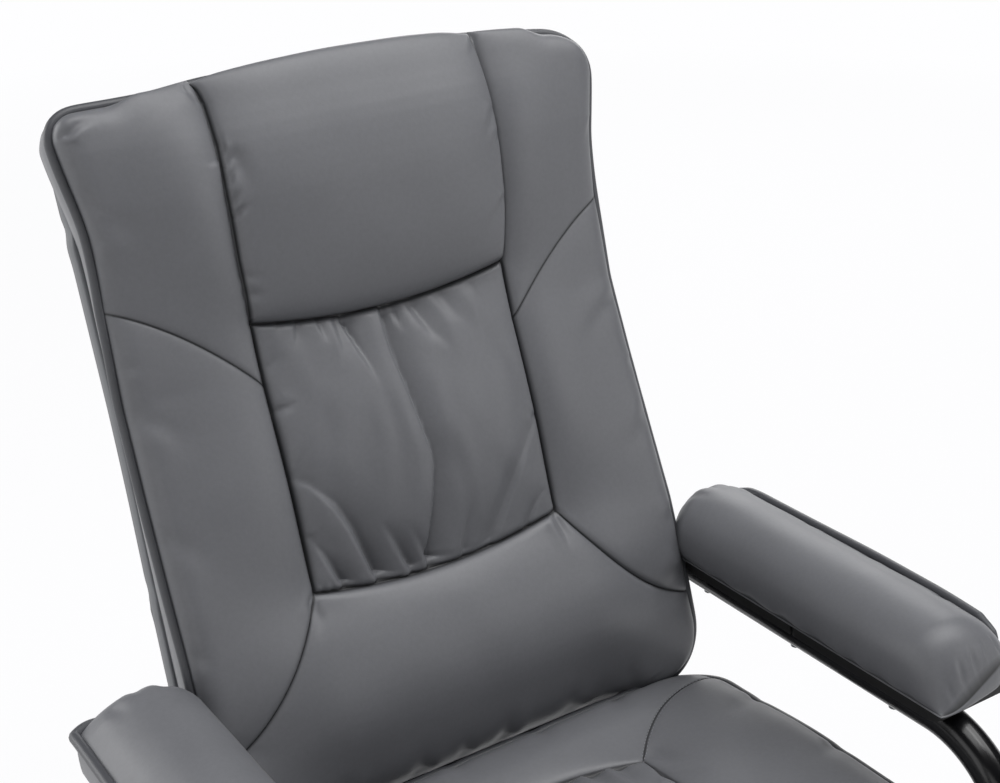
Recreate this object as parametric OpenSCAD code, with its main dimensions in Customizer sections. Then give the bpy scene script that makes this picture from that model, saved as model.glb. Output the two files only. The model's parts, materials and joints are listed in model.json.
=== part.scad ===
// Massage armchair with footstool, in millimetres, +Z up, with the sitter facing -Y.
// The origin lies on the floor, under the axis that the chair swivels on.

/* [Stance] */
// Distance from the swivel axis to the middle of the footstool
stool_dist = 760; // [700:10:1100]
// Backward slope of the seat and of the arm loops, in degrees
rake = 5.2; // [3.5:0.1:6.5]
// Lean of the upright backrest from the vertical, in degrees
lean = 21.8; // [18:0.1:26]
// Height of the arm loops' lower runs at the swivel axis
frame_z = 352; // [345:1:380]

/* [Chair base] */
// Diameter of the base ring along the middle of its tube
ring_d = 530; // [480:5:580]
// Outer diameter of the ring tubes
ring_tube_d = 32; // [28:1:38]
// Outer diameter of the spokes
spoke_d = 25; // [19:1:27]
// Wall of every steel tube
tube_wall = 1.8; // [1.2:0.1:2.5]
// Number of spokes in each base
spoke_count = 4; // [3:1:6]
// Height of the rubber ring's web, under the ring tube
floor_web = 4; // [3:0.5:8]
// Width of the rubber floor ring
floor_ring_w = 18; // [14:1:26]
// Outer diameter of the column
column_d = 60; // [56:1:70]
// Wall of the column
column_wall = 5; // [3.5:0.5:6]
// Diameter of the swivel shaft
shaft_d = 40; // [34:1:42]
// Length of each column bush
bush_l = 40; // [25:1:60]

/* [Arm loops] */
// Outer diameter of the arm tubes
arm_tube_d = 32; // [28:1:34]
// Distance from the side of the seat to the middle of each arm tube
arm_gap = 35; // [32:1:50]
// Radius of the round front end of an arm loop
front_bend_r = 95; // [88:1:105]
// Radius of the two rear corners of an arm loop
rear_bend_r = 60; // [50:1:65]
// Distance forward from the swivel axis to the middle of the front bend
front_bend_y = 118; // [100:1:130]
// Distance back from the swivel axis to the upright rear run
rear_run_y = 282; // [276:1:310]

/* [Arm pads] */
// Length of an arm pad
pad_l = 376; // [330:1:390]
// Width of an arm pad
pad_w = 105; // [96:1:115]
// Height of an arm cushion above its board
pad_h = 63; // [50:1:75]
// Thickness of an arm board
pad_board_t = 10; // [8:1:14]
// Distance from the arm tube to the inner side of the pad
pad_inset = 38; // [30:1:42]

/* [Seat] */
// Width of the seat
seat_w = 500; // [470:2:504]
// Length of the seat from front to rear
seat_l = 477; // [450:1:500]
// Distance back from the swivel axis to the rear of the seat
seat_rear_y = 165; // [155:1:168]
// Height of the seat's side, from its board to the welt
seat_side_h = 90; // [75:1:105]
// Height of the seat's crown above the welt
seat_crown = 22; // [10:1:30]
// Distance between the two long seams of the seat
seat_seam_w = 214; // [200:2:280]
// Thickness of the seat and back boards
board_t = 15; // [10:1:18]
// Width of a cross bar
bar_w = 40; // [30:1:50]
// Height of a cross bar
bar_h = 25; // [20:1:30]
// Distance from the swivel axis to the middle of each cross bar
bar_y = 100; // [90:1:110]

/* [Backrest] */
// How much wider the backrest is than the seat
back_more_w = 4; // [-20:1:6]
// Length of the backrest along its slope
back_l = 648; // [600:2:720]
// Depth of the back cushion behind the plane of its seams
back_depth = 35; // [30:1:45]
// Depth of the swells at head and foot, in front of the plane of the seams
back_swell = 26; // [16:1:30]
// Crown of the back panels between their seams
back_crown = 10; // [6:1:14]
// Height of the lumbar seam along the slope
lumbar_seam_u = 211; // [180:1:240]
// Height of the head panel's lower seam along the slope
head_seam_u = 440; // [400:1:480]
// Depth of the hollow rear cover
cover_depth = 34; // [32:1:45]
// Wall of the rear cover
cover_wall = 3; // [2:0.5:5]

/* [Recline] */
// Diameter of the pivot bolts
pivot_d = 10; // [8:1:12]
// Distance from the side of the seat in to each hinge arm
hinge_inset = 54; // [45:1:80]
// Thickness of the hinge plates
plate_t = 4; // [3:0.5:6]
// Diameter of the clamp knob
knob_d = 60; // [52:1:64]

/* [Electrics] */
// Diameter of a vibration motor
motor_d = 48; // [36:1:56]
// Depth of a vibration motor
motor_t = 24; // [18:1:26]
// Length of the control box
box_l = 120; // [90:1:130]
// Width of the control box
box_w = 90; // [60:1:95]
// Height of the control box
box_h = 34; // [28:1:45]
// Bore of the power inlet
inlet_d = 5.6; // [5:0.1:6.4]
// Height of the hand controller
remote_h = 85; // [76:1:88]
// Width of the hand controller
remote_w = 52; // [48:1:60]
// Thickness of the hand controller
remote_t = 18; // [16:1:20]
// Diameter of a push button
button_d = 9; // [6:0.5:10]
// Height of the side pocket
pocket_h = 46; // [40:1:46]
// Width of the side pocket
pocket_w = 120; // [90:2:140]

/* [Footstool] */
// Width of the footstool's cushion
stool_w = 480; // [420:5:520]
// Length of the footstool's cushion from front to rear
stool_l = 380; // [340:5:420]
// Height of the footstool's cushion side, from its board to the welt
stool_side_h = 76; // [60:1:90]
// Diameter of the footstool's ring along the middle of its tube
stool_ring_d = 370; // [320:5:400]
// Outer diameter of the footstool's column
stool_column_d = 50; // [42:1:60]
// Height of the footstool's top plate above the floor
stool_plate_z = 292; // [260:1:320]
// Thickness of the footstool's board
stool_board_t = 15; // [10:1:18]

/* [Hidden] */
$fn = 96;

// Clearances and shared small sizes
seat_gap = 0.3;      // between a board or cushion and what carries it
weld_gap = 0.2;      // between welded tubes
press_gap = 0.02;    // radial, of a bush pressed into its tube
run_gap = 0.05;      // radial, of a shaft in its bush or a pin in its hole
screw_gap = 0.1;     // radial, of a screw in its hole
overrun = 5;         // how far a cut runs past a face

// Fasteners: widths and heights of heads and nuts, and what they leave of the boards
swivel_bolt_d = 8;
swivel_head_d = 14;
swivel_head_h = 5;
swivel_bolt_spare = 9;
swivel_nut_r = 7.5;
swivel_nut_h = 6.5;
arm_bolt_d = 8;
arm_head_d = 15;
arm_head_h = 4;
board_bolt_d = 6;
board_head_d = 12;
board_head_h = 4;
wood_screw_d = 5;
wood_head_d = 10;
wood_head_h = 3;
board_hole_rest = 2;
board_bolt_rest = 3;
pad_hole_rest = 1;
pad_screw_rest = 2;

// Chair base, from the floor up
ring_r = ring_d / 2;
ring_tube_r = ring_tube_d / 2;
ring_z = floor_web + ring_tube_r;
floor_ring_h = 2 * floor_web;
column_r = column_d / 2;
column_bore_r = column_r - column_wall;
column_bottom = floor_ring_h;
shaft_r = shaft_d / 2;
flange_t = 3;
washer_t = 3;
swivel_plate_t = 5;
bracket_t = 3;
web_min_h = 18;
web_reach = bar_y + bar_w / 2;
bar_under = -bar_h / 2;
bracket_top_z = frame_z + (bar_under * cos(rake)) - web_reach * sin(rake) - web_min_h;
swivel_plate_z = bracket_top_z - bracket_t - swivel_plate_t;
swivel_plate_narrow = 28;
swivel_plate_w = 2 * (web_reach - swivel_plate_narrow);
swivel_plate_l = 2 * web_reach;
plate_corner_r = 14;
swivel_bolt_inset = 22;
web_x = swivel_plate_w / 2 - 2 * swivel_bolt_inset;
column_top = swivel_plate_z - washer_t - flange_t;
circlip_t = 2.5;
circlip_w = 6;
circlip_depth = 2;
lower_bush_z = column_bottom + bush_l;
circlip_z = lower_bush_z - circlip_t - weld_gap;
shaft_bottom = circlip_z - 2 * circlip_t;

// Arm loops, in the raked frame: its y runs back along the slope, its z square to it
arm_tube_r = arm_tube_d / 2;
arm_x = seat_w / 2 + arm_gap;
loop_h = 2 * front_bend_r;
loop_rear_y = rear_run_y - rear_bend_r;
saddle_t = 11;
saddle_wrap = 5;
bar_end = arm_x - arm_tube_r - saddle_t;
arm_bolt_run = 24;
arm_bolt_l = saddle_t + arm_tube_d + arm_bolt_run;

// Arm pads, in the raked frame
pad_rear_y = loop_rear_y;
pad_front_y = pad_rear_y - pad_l;
pad_in_x = arm_x - pad_inset;
pad_board_z = loop_h + arm_tube_r + seat_gap;
pad_z = pad_board_z + pad_board_t + seat_gap;
pad_board_inset = 7;
pad_front_r = 20;
pad_rear_share = 0.48;
pad_rear_r = pad_rear_share * pad_w;
arm_screw_shares = [0.22, 0.56, 0.9];
arm_screw_places = [for (s = arm_screw_shares) pad_front_y + s * pad_l];

// Seat, in the raked frame
seat_board_z = bar_h / 2 + seat_gap;
seat_z = seat_board_z + board_t + seat_gap;
seat_front_y = seat_rear_y - seat_l;
seat_draw = 6;
seat_board_inset = 10;
seat_front_r = 46;
seat_rear_r = 50;
seat_bolt_share = 0.3;
seat_bolt_x = seat_bolt_share * seat_w;

// Backrest, in the leaned frame: its origin is the heel, where seat and back meet
heel_in = 1.2;
heel_share = 0.72;
heel = raked_point(seat_rear_y - heel_in, seat_z + heel_share * seat_side_h);
back_w = seat_w + back_more_w;
back_half_w = back_w / 2;
back_foot_u = 8;
back_foot_r = 60;
back_top_r = 60;
back_bow = 15;
back_draw = 7;
back_board_y = back_depth + seat_gap;
back_board_inset = 14;
cover_y = back_board_y + board_t + seat_gap;
cover_inset = 10;
cover_corner_r = 50;

// Recline pivot, in the leaned frame and then in the raked frame
pivot_r = pivot_d / 2;
pivot_behind = 12;
pivot_drop = 26;
pivot_lean = [cover_y + pivot_behind, -pivot_drop];
pivot_at = leaned_point(pivot_lean[0], pivot_lean[1]);
pivot_rake = to_raked(pivot_at);
boss_r = 16;
hinge_reach_u = 200;
hinge_depth = 24;
hinge_flange_w = 26;
hinge_cover_gap = 2;
hinge_flange_u = back_foot_u + cover_inset + cover_wall + hinge_cover_gap;
hinge_screw_shares = [0.3, 0.6, 0.9];
hinge_slot_spare = 8;
hinge_x = seat_w / 2 - hinge_inset;
bracket_x = hinge_x + plate_t + seat_gap;
knob_clear = 3;
knob_face_x = arm_x + arm_tube_r + knob_clear;
knob_t = 20;
knob_hub_share = 0.15;
knob_hub_r = knob_hub_share * knob_d;
knob_root = 1;
knob_end_gap = 1;
knob_lobes = 6;
stud_depth_share = 0.6;
stud_end_x = knob_face_x + stud_depth_share * knob_t;
pivot_head_d = 16;
pivot_nut_r = 9;
pivot_nut_t = 6;
pivot_bolt_spare = 3;

// Electrics
motor_flange_t = 2;
motor_rim = 6;
motor_flange_d = motor_d + 2 * motor_rim;
seat_motor_side_share = 0.22;
seat_motor_x = seat_motor_side_share * seat_w;
seat_motor_y = (seat_front_y - bar_y - bar_w / 2) / 2;
lumbar_motor_share = 0.26;
upper_motor_share = 0.6;
lumbar_motor_u = back_foot_u + lumbar_motor_share * back_l;
upper_motor_u = back_foot_u + upper_motor_share * back_l;
back_motor_side_share = 0.17;
back_motor_x = back_motor_side_share * seat_w;
wire_r = 2.5;
wire_in = 12;
wire_x = back_motor_x - motor_flange_d / 2 - wire_in;
wire_foot = 20;
box_x = 110;
box_wall = 2;
inlet_place_share = 0.75;
inlet_l = 9;
inlet_flange_d = 14;
inlet_flange_t = 2;
inlet_body_d = 10;
inlet_end_t = 2;
pocket_wall = 2;
pocket_depth = 31;
pocket_x = seat_w / 2 - seat_draw + seat_gap;
pocket_lift = 1;
pocket_z = seat_z + pocket_lift;
remote_gap = 10;
remote_x = pocket_x + pocket_wall + remote_gap;
remote_z = pocket_z + pocket_wall + seat_gap;
remote_wall = 2;
remote_corner_r = 10;
remote_split = 8;
pcb_t = 1.6;
button_proud = 1.2;
button_travel = 1;
button_flange = 1.5;
button_top = 12;
button_pitch = 14;
button_rows = [for (i = [0 : 2]) remote_h - button_top - i * button_pitch];
button_side = 12;

// Footstool
stool_ring_r = stool_ring_d / 2;
stool_column_r = stool_column_d / 2;
stool_plate_w = 170;
stool_plate_t = 5;
stool_board_z = stool_plate_z + stool_plate_t + seat_gap;
stool_z = stool_board_z + stool_board_t + seat_gap;
stool_bolt_inset = 18;
stool_bolt_x = stool_plate_w / 2 - stool_bolt_inset;
stool_corner_r = 48;
stool_seam_share = 0.5;

// Frames: raked for seat and arms, leaned for the backrest, and the side view for bent tubes
function raked_point(y, z) = [y * cos(rake) + z * sin(rake), frame_z - y * sin(rake) + z * cos(rake)];

function to_raked(p) = [
    p[0] * cos(rake) - (p[1] - frame_z) * sin(rake),
    p[0] * sin(rake) + (p[1] - frame_z) * cos(rake)
];

function leaned_point(y, u) = [
    heel[0] + y * cos(lean) + u * sin(lean),
    heel[1] - y * sin(lean) + u * cos(lean)
];

module raked() {
    translate([0, 0, frame_z]) rotate([-rake, 0, 0]) children();
}

module leaned() {
    translate([0, heel[0], heel[1]]) rotate([-lean, 0, 0]) children();
}

module side_view(x) {
    translate([x, 0, 0]) rotate([90, 0, 90]) children();
}

module at_stool() {
    translate([0, -stool_dist, 0]) children();
}

// Plane shapes
module tube_section(d) {
    difference() {
        circle(d = d);
        circle(d = d - 2 * tube_wall);
    }
}

module slab(w, l, r) {
    square([w - 2 * r, l], center = true);
    square([w, l - 2 * r], center = true);
    for (sx = [-1, 1], sy = [-1, 1])
        translate([sx * (w / 2 - r), sy * (l / 2 - r)]) circle(r = r);
}

// Fasteners stand on the origin with their heads below it
module bolt(d, l, head_d, head_h) {
    cylinder(d = d, h = l);
    translate([0, 0, -head_h]) cylinder(d = head_d, h = head_h);
}

module hex_nut(d, r, h) {
    difference() {
        cylinder(r = r, h = h, $fn = 6);
        translate([0, 0, -overrun]) cylinder(r = d / 2 + screw_gap, h = h + 2 * overrun);
    }
}

// Bases of chair and footstool
module floor_ring(r) {
    rotate_extrude() difference() {
        translate([r - floor_ring_w / 2, 0]) square([floor_ring_w, floor_ring_h]);
        translate([r, ring_z]) circle(r = ring_tube_r + weld_gap);
    }
}

module ring_tube(r) {
    translate([0, 0, ring_z]) rotate_extrude() translate([r, 0]) tube_section(ring_tube_d);
}

module spokes(r, hub_r) {
    for (i = [0 : spoke_count - 1]) difference() {
        translate([0, 0, ring_z]) rotate([0, 90, 180 / spoke_count + i * 360 / spoke_count])
            linear_extrude(r) tube_section(spoke_d);
        cylinder(r = hub_r + weld_gap, h = 2 * ring_z + spoke_d);
        translate([0, 0, ring_z]) rotate_extrude() translate([r, 0]) circle(r = ring_tube_r + weld_gap);
    }
}

module base_floor_ring() {
    color("#1c1c1d") floor_ring(ring_r);
}

module base_ring() {
    color("#17181a") ring_tube(ring_r);
}

module base_spokes() {
    color("#17181a") spokes(ring_r, column_r);
}

module base_column() {
    color("#17181a") difference() {
        translate([0, 0, column_bottom]) cylinder(r = column_r, h = column_top - column_bottom);
        cylinder(r = column_bore_r, h = column_top + overrun);
    }
}

module bush(z, flange) {
    difference() {
        union() {
            translate([0, 0, z]) cylinder(r = column_bore_r - press_gap, h = bush_l);
            if (flange) translate([0, 0, z + bush_l]) cylinder(r = column_r, h = flange_t);
        }
        translate([0, 0, z - overrun]) cylinder(r = shaft_r + run_gap, h = bush_l + flange_t + 2 * overrun);
    }
}

module column_bushes() {
    color("#e4e2da") {
        bush(lower_bush_z, false);
        bush(column_top - bush_l, true);
    }
}

module thrust_washer() {
    color("#9a9c9e") difference() {
        translate([0, 0, column_top + flange_t]) cylinder(r = column_r, h = washer_t);
        cylinder(r = shaft_r + run_gap, h = column_top + flange_t + washer_t + overrun);
    }
}

// Swivel: shaft, plate and the bracket that gives the seat its slope
module swivel_shaft() {
    color("#8d8f92") difference() {
        translate([0, 0, shaft_bottom]) cylinder(r = shaft_r, h = swivel_plate_z - shaft_bottom);
        translate([0, 0, circlip_z]) difference() {
            cylinder(r = shaft_d, h = circlip_t + weld_gap);
            translate([0, 0, -overrun])
                cylinder(r = shaft_r - circlip_depth, h = circlip_t + 2 * overrun);
        }
    }
}

module shaft_circlip() {
    color("#6d7074") translate([0, 0, circlip_z + weld_gap / 2]) difference() {
        cylinder(r = shaft_r - circlip_depth + circlip_w, h = circlip_t);
        translate([0, 0, -overrun])
            cylinder(r = shaft_r - circlip_depth + weld_gap, h = circlip_t + 2 * overrun);
    }
}

module at_swivel_bolts() {
    x = swivel_plate_w / 2 - swivel_bolt_inset;
    y = swivel_plate_l / 2 - swivel_bolt_inset;
    for (sx = [-1, 1], sy = [-1, 1]) translate([sx * x, sy * y, 0]) children();
}

module swivel_plate() {
    color("#17181a") translate([0, 0, swivel_plate_z]) difference() {
        linear_extrude(swivel_plate_t) slab(swivel_plate_w, swivel_plate_l, plate_corner_r);
        at_swivel_bolts() translate([0, 0, -overrun])
            cylinder(d = swivel_bolt_d + 2 * screw_gap, h = swivel_plate_t + 2 * overrun);
    }
}

module tilt_bracket() {
    base_z = swivel_plate_z + swivel_plate_t;
    under = frame_z + bar_under * cos(rake) - seat_gap;
    rise = web_reach * sin(rake);
    color("#17181a") {
        translate([0, 0, base_z]) difference() {
            linear_extrude(bracket_t) slab(swivel_plate_w, swivel_plate_l, plate_corner_r);
            at_swivel_bolts() translate([0, 0, -overrun])
                cylinder(d = swivel_bolt_d + 2 * screw_gap, h = bracket_t + 2 * overrun);
        }
        for (sx = [-1, 1]) translate([sx * web_x - bracket_t / 2, 0, 0])
            rotate([90, 0, 90]) linear_extrude(bracket_t) polygon([
                [-web_reach, base_z + bracket_t],
                [web_reach, base_z + bracket_t],
                [web_reach, under - rise],
                [-web_reach, under + rise]
            ]);
    }
}

module swivel_bolts() {
    stack = swivel_plate_t + bracket_t;
    color("#7e8083") translate([0, 0, swivel_plate_z]) at_swivel_bolts() {
        bolt(swivel_bolt_d, stack + swivel_bolt_spare, swivel_head_d, swivel_head_h);
        translate([0, 0, stack]) hex_nut(swivel_bolt_d, swivel_nut_r, swivel_nut_h);
    }
}

// Seat frame: two rectangular bars whose ends sit in saddles against the arm loops
module cross_bar(y) {
    color("#17181a") raked() translate([0, y, 0]) rotate([90, 0, 90]) difference() {
        translate([0, 0, -bar_end]) linear_extrude(2 * bar_end) difference() {
            square([bar_w, bar_h], center = true);
            square([bar_w - 2 * tube_wall, bar_h - 2 * tube_wall], center = true);
        }
        for (sx = [-1, 1]) translate([0, 0, sx * seat_bolt_x]) rotate([90, 0, 0])
            cylinder(d = board_bolt_d + 2 * screw_gap, h = 2 * bar_h, center = true);
    }
}

module front_cross_bar() {
    cross_bar(-bar_y);
}

module rear_cross_bar() {
    cross_bar(bar_y);
}

module at_arm_bolts() {
    for (sx = [-1, 1], sy = [-1, 1]) translate([0, sy * bar_y, 0])
        rotate([0, sx * 90, 0]) children();
}

module arm_saddles() {
    color("#202123") raked() at_arm_bolts() difference() {
        translate([-bar_h / 2, -bar_w / 2, bar_end + weld_gap])
            cube([bar_h, bar_w, saddle_t + saddle_wrap]);
        translate([0, 0, arm_x]) rotate([90, 0, 0])
            cylinder(r = arm_tube_r + weld_gap, h = 2 * bar_w, center = true);
        cylinder(d = arm_bolt_d + 2 * screw_gap, h = 2 * arm_x);
    }
}

module arm_bolts() {
    color("#7e8083") raked() at_arm_bolts()
        translate([0, 0, arm_x + arm_tube_r + weld_gap]) rotate([180, 0, 0])
            bolt(arm_bolt_d, arm_bolt_l, arm_head_d, arm_head_h);
}

// An arm loop is one bent tube, drawn in the side view
module straight(x, y, l) {
    translate([x, y, 0]) rotate([0, 90, 0]) linear_extrude(l) tube_section(arm_tube_d);
}

module bend(x, y, r, from, angle) {
    translate([x, y, 0]) rotate([0, 0, from]) rotate_extrude(angle = angle) translate([r, 0])
        tube_section(arm_tube_d);
}

module arm_loop(side) {
    run_l = loop_rear_y + front_bend_y;
    color("#17181a") raked() difference() {
        side_view(side * arm_x) {
            straight(-front_bend_y, 0, run_l);
            straight(-front_bend_y, loop_h, run_l);
            bend(-front_bend_y, front_bend_r, front_bend_r, 90, 180);
            bend(loop_rear_y, rear_bend_r, rear_bend_r, 270, 90);
            bend(loop_rear_y, loop_h - rear_bend_r, rear_bend_r, 0, 90);
            translate([rear_run_y, rear_bend_r, 0]) rotate([-90, 0, 0])
                linear_extrude(loop_h - 2 * rear_bend_r) tube_section(arm_tube_d);
        }
        for (y = [-bar_y, bar_y]) translate([side * arm_x, y, 0]) rotate([0, 90, 0])
            cylinder(d = arm_bolt_d + 2 * screw_gap, h = 2 * arm_tube_d, center = true);
        for (y = arm_screw_places) translate([side * arm_x, y, loop_h])
            cylinder(d = wood_screw_d + 2 * screw_gap, h = 2 * arm_tube_d, center = true);
    }
}

module arm_loop_left() {
    arm_loop(-1);
}

module arm_loop_right() {
    arm_loop(1);
}

// Arm boards and their screws
module arm_board(side) {
    w = pad_w - 2 * pad_board_inset;
    l = pad_l - 2 * pad_board_inset;
    x = side * (pad_in_x + pad_w / 2);
    color("#b08d5e") raked() difference() {
        translate([x, (pad_front_y + pad_rear_y) / 2, pad_board_z]) linear_extrude(pad_board_t) {
            translate([0, -l / 4]) slab(w, l / 2, pad_front_r / 2);
            translate([0, l / 4 - w / 4]) square([w, l / 2 - w / 2 + overrun], center = true);
            translate([0, l / 2 - w / 2]) circle(d = w);
        }
        for (y = arm_screw_places) translate([side * arm_x, y, pad_board_z - overrun])
            cylinder(d = wood_screw_d + 2 * screw_gap, h = pad_board_t - pad_hole_rest + overrun);
    }
}

module arm_board_left() {
    arm_board(-1);
}

module arm_board_right() {
    arm_board(1);
}

module arm_screws() {
    l = arm_tube_d + 2 * seat_gap + pad_board_t - pad_screw_rest;
    color("#7e8083") raked() for (sx = [-1, 1], y = arm_screw_places)
        translate([sx * arm_x, y, loop_h - arm_tube_r - seat_gap])
            bolt(wood_screw_d, l, wood_head_d, wood_head_h);
}

// Seat board and the bolts that hold it to the cross bars
module at_seat_bolts() {
    for (sx = [-1, 1], sy = [-1, 1]) translate([sx * seat_bolt_x, sy * bar_y, 0]) children();
}

module seat_board() {
    w = seat_w - 2 * (seat_draw + seat_board_inset);
    l = seat_l - 2 * seat_board_inset;
    color("#b08d5e") raked() difference() {
        translate([0, (seat_front_y + seat_rear_y) / 2, seat_board_z]) linear_extrude(board_t)
            slab(w, l, seat_rear_r);
        at_seat_bolts() translate([0, 0, seat_board_z - overrun])
            cylinder(d = board_bolt_d + 2 * screw_gap, h = board_t - board_hole_rest + overrun);
    }
}

module seat_bolts() {
    color("#7e8083") raked() at_seat_bolts() translate([0, 0, -bar_h / 2 - weld_gap])
        bolt(board_bolt_d, bar_h + board_t - board_bolt_rest, board_head_d, board_head_h);
}

// Soft forms are lofts: rows of points of equal count, closed by a fan at each end
module loft(rows) {
    n = len(rows[0]);
    m = len(rows);
    low = mean(rows[0]);
    high = mean(rows[m - 1]);
    polyhedron(
        points = concat([for (row = rows) each row], [low, high]),
        faces = concat(
            [for (j = [0 : m - 2], i = [0 : n - 1])
                each [[j * n + i, (j + 1) * n + i, j * n + (i + 1) % n],
                    [j * n + (i + 1) % n, (j + 1) * n + i, (j + 1) * n + (i + 1) % n]]],
            [for (i = [0 : n - 1]) [i, (i + 1) % n, m * n]],
            [for (i = [0 : n - 1]) [(m - 1) * n + (i + 1) % n, (m - 1) * n + i, m * n + 1]]
        )
    );
}

function mean(row) = [for (k = [0 : 2]) sum([for (p = row) p[k]]) / len(row)];
function sum(v, i = 0) = i < len(v) ? v[i] + sum(v, i + 1) : 0;
function clamp01(t) = min(1, max(0, t));
function smooth(t) = clamp01(t) * clamp01(t) * (3 - 2 * clamp01(t));

// How far a rounded corner of radius r draws the side in, at a distance d from the end
function corner_in(d, r) = d >= r ? 0 : r - sqrt(max(0, r * r - (r - d) * (r - d)));

// Height of a padded dome at a share t from its edge to its middle, with a round shoulder
function dome(t) = sqrt(max(0, 1 - pow(1 - clamp01(t), 3)));

// Hump of a panel between two seams, and the groove that a seam pulls into it
hump_power = 0.7;
function hump(x, a, b) = x <= a || x >= b ? 0 : pow(sin(180 * (x - a) / (b - a)), hump_power);

// Shares of the way along a cushion where its rows lie, closer together at both ends,
// and places from -1 to 1 of the points across it
row_bunch_share = 0.6;
col_bunch_share = 0.5;
function row_shares(n) = [for (i = [0 : n])
    row_bunch_share * (1 - cos(180 * i / n)) / 2 + (1 - row_bunch_share) * i / n];
function col_places(n, bunch) = [for (i = [0 : n])
    -bunch * cos(180 * i / n) + (1 - bunch) * (2 * i / n - 1)];

// What a panel keeps of the crown beside its seams, the hump of a middle panel,
// and the height of the fold in a cushion's side
crown_rest_share = 0.55;
mid_hump_share = 0.75;
side_fold_share = 0.55;

// Seat cushion: bolsters at both sides, a lower middle panel, and a rear that dips to the heel
seat_rows = 26;
seat_cols = 24;
seat_end_crown = 45;
seat_dip_share = 0.46;
seat_dip_l = 70;
seat_cross_seam = 78;
seat_groove = 5;

function seat_half_w(y) = seat_w / 2 - corner_in(y - seat_front_y, seat_front_r)
    - corner_in(seat_rear_y - y, seat_rear_r);

function seat_welt(y) =
    let (dip = clamp01((y - (seat_rear_y - seat_dip_l)) / seat_dip_l))
    seat_z + seat_side_h * (1 - seat_dip_share * dip * dip);

function seat_top(x, y) =
    let (
        hw = seat_half_w(y),
        edge = dome((hw - abs(x)) / seat_end_crown),
        ends = dome(min(y - seat_front_y, seat_rear_y - y) / seat_end_crown),
        seam = seat_seam_w / 2,
        panel = abs(x) < seam
            ? mid_hump_share * hump(abs(x) + seam, 0, 2 * seam)
            : hump(abs(x), seam, hw + seam / 2),
        near = 1 - smooth(abs(abs(x) - seam) / (2 * seat_groove)),
        cross = 1 - smooth(abs(y - (seat_rear_y - seat_cross_seam)) / (3 * seat_groove))
    )
    seat_welt(y) + seat_crown * ends * edge * (crown_rest_share + (1 - crown_rest_share) * panel)
        - seat_groove * ends * edge * max(near, abs(x) < seam ? cross : 0);

function seat_row(y) =
    let (hw = seat_half_w(y), fold = seat_z + side_fold_share * (seat_welt(y) - seat_z))
    concat(
        [for (t = col_places(seat_cols, col_bunch_share)) [t * hw, y, seat_top(t * hw, y)]],
        [
            [hw - seat_draw, y, fold],
            [hw - seat_draw, y, seat_z],
            [-hw + seat_draw, y, seat_z],
            [-hw + seat_draw, y, fold]
        ]
    );

module seat_cushion() {
    color("#55585c") raked() loft([for (s = row_shares(seat_rows)) seat_row(seat_front_y + s * seat_l)]);
}

// Arm cushion: outer welt at half height, a round top, and an inner side that rolls down to the board
pad_rows = 20;
pad_end_l = 26;
pad_welt_share = 0.50;
pad_top_shares = [
    [1.000, 0.50], [0.985, 0.66], [0.935, 0.80], [0.840, 0.92], [0.700, 0.985], [0.540, 1.00],
    [0.380, 0.965], [0.240, 0.87], [0.125, 0.72], [0.045, 0.53], [0.005, 0.33], [0.010, 0.14]
];
pad_foot_shares = [[0.06, 0], [0.94, 0], [0.955, 0.25]];

function pad_draw(y) = corner_in(y - pad_front_y, pad_front_r) + corner_in(pad_rear_y - y, pad_rear_r);
function pad_in(y) = pad_in_x + pad_draw(y);
function pad_out(y) = pad_in_x + pad_w - pad_draw(y);
function pad_rise(y) = dome(min(y - pad_front_y, (pad_rear_y - y) / 2) / pad_end_l);

function pad_row(side, y) =
    let (
        shares = concat(pad_foot_shares, pad_top_shares),
        turned = side < 0 ? shares : [for (i = [len(shares) - 1 : -1 : 0]) shares[i]]
    )
    [for (p = turned) [
        side * (pad_in(y) + p[0] * (pad_out(y) - pad_in(y))),
        y,
        pad_z + pad_h * (min(p[1], pad_welt_share) + max(0, p[1] - pad_welt_share) * pad_rise(y))
    ]];

module arm_cushion(side) {
    color("#55585c") raked()
        loft([for (s = row_shares(pad_rows)) pad_row(side, pad_front_y + s * pad_l)]);
}

module arm_cushion_left() {
    arm_cushion(-1);
}

module arm_cushion_right() {
    arm_cushion(1);
}

// Back cushion: side panels, head panel, lumbar panel and foot panel, in the leaned frame
back_rows = 36;
back_cols = 26;
back_shoulder = 26;
back_groove = 5;
back_seam_top = 138;
back_seam_mid = 126;
back_waist_in = 7;
back_waist_share = 0.3;
back_waist_span_share = 0.75;
back_splay_share = 0.6;
back_bow_from_share = 0.52;
back_side_over = 20;
back_head_over = 60;
back_foot_over = 40;
back_lumbar_share = 0.7;
back_foot_share = 1;
back_across_share = 0.5;
back_rest_share = 0.35;
back_fold_share = 0.7;
back_bunch_share = 0.4;

// Bow of the welt line in side view, as shares of the length and of the bow's depth
back_bow_shares = [
    [0, -0.7], [0.15, -0.7], [0.28, -0.5], [0.38, 0], [0.5, 0.55], [0.62, 0.95], [0.75, 0.35],
    [0.86, -0.9], [0.94, -1.15], [1, -1.2]
];

// Swell of the padding in side view, as shares of the length and of the swell's depth
back_swell_shares = [
    [0, 0.15], [0.05, 0.55], [0.12, 0.92], [0.18, 0.95], [0.25, 0.7], [0.31, 0.3], [0.38, 0.32],
    [0.47, 0.36], [0.6, 0.12], [0.67, 0.12], [0.76, 0.62], [0.86, 1], [0.93, 0.85], [1, 0.1]
];

// Run of the long seams below the lumbar seam, as shares of that length and of the way to the welt
back_foot_seam_shares = [[0, 0], [0.19, 0.2], [0.35, 0.46], [0.52, 0.83], [0.58, 1], [1, 1.2]];

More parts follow.
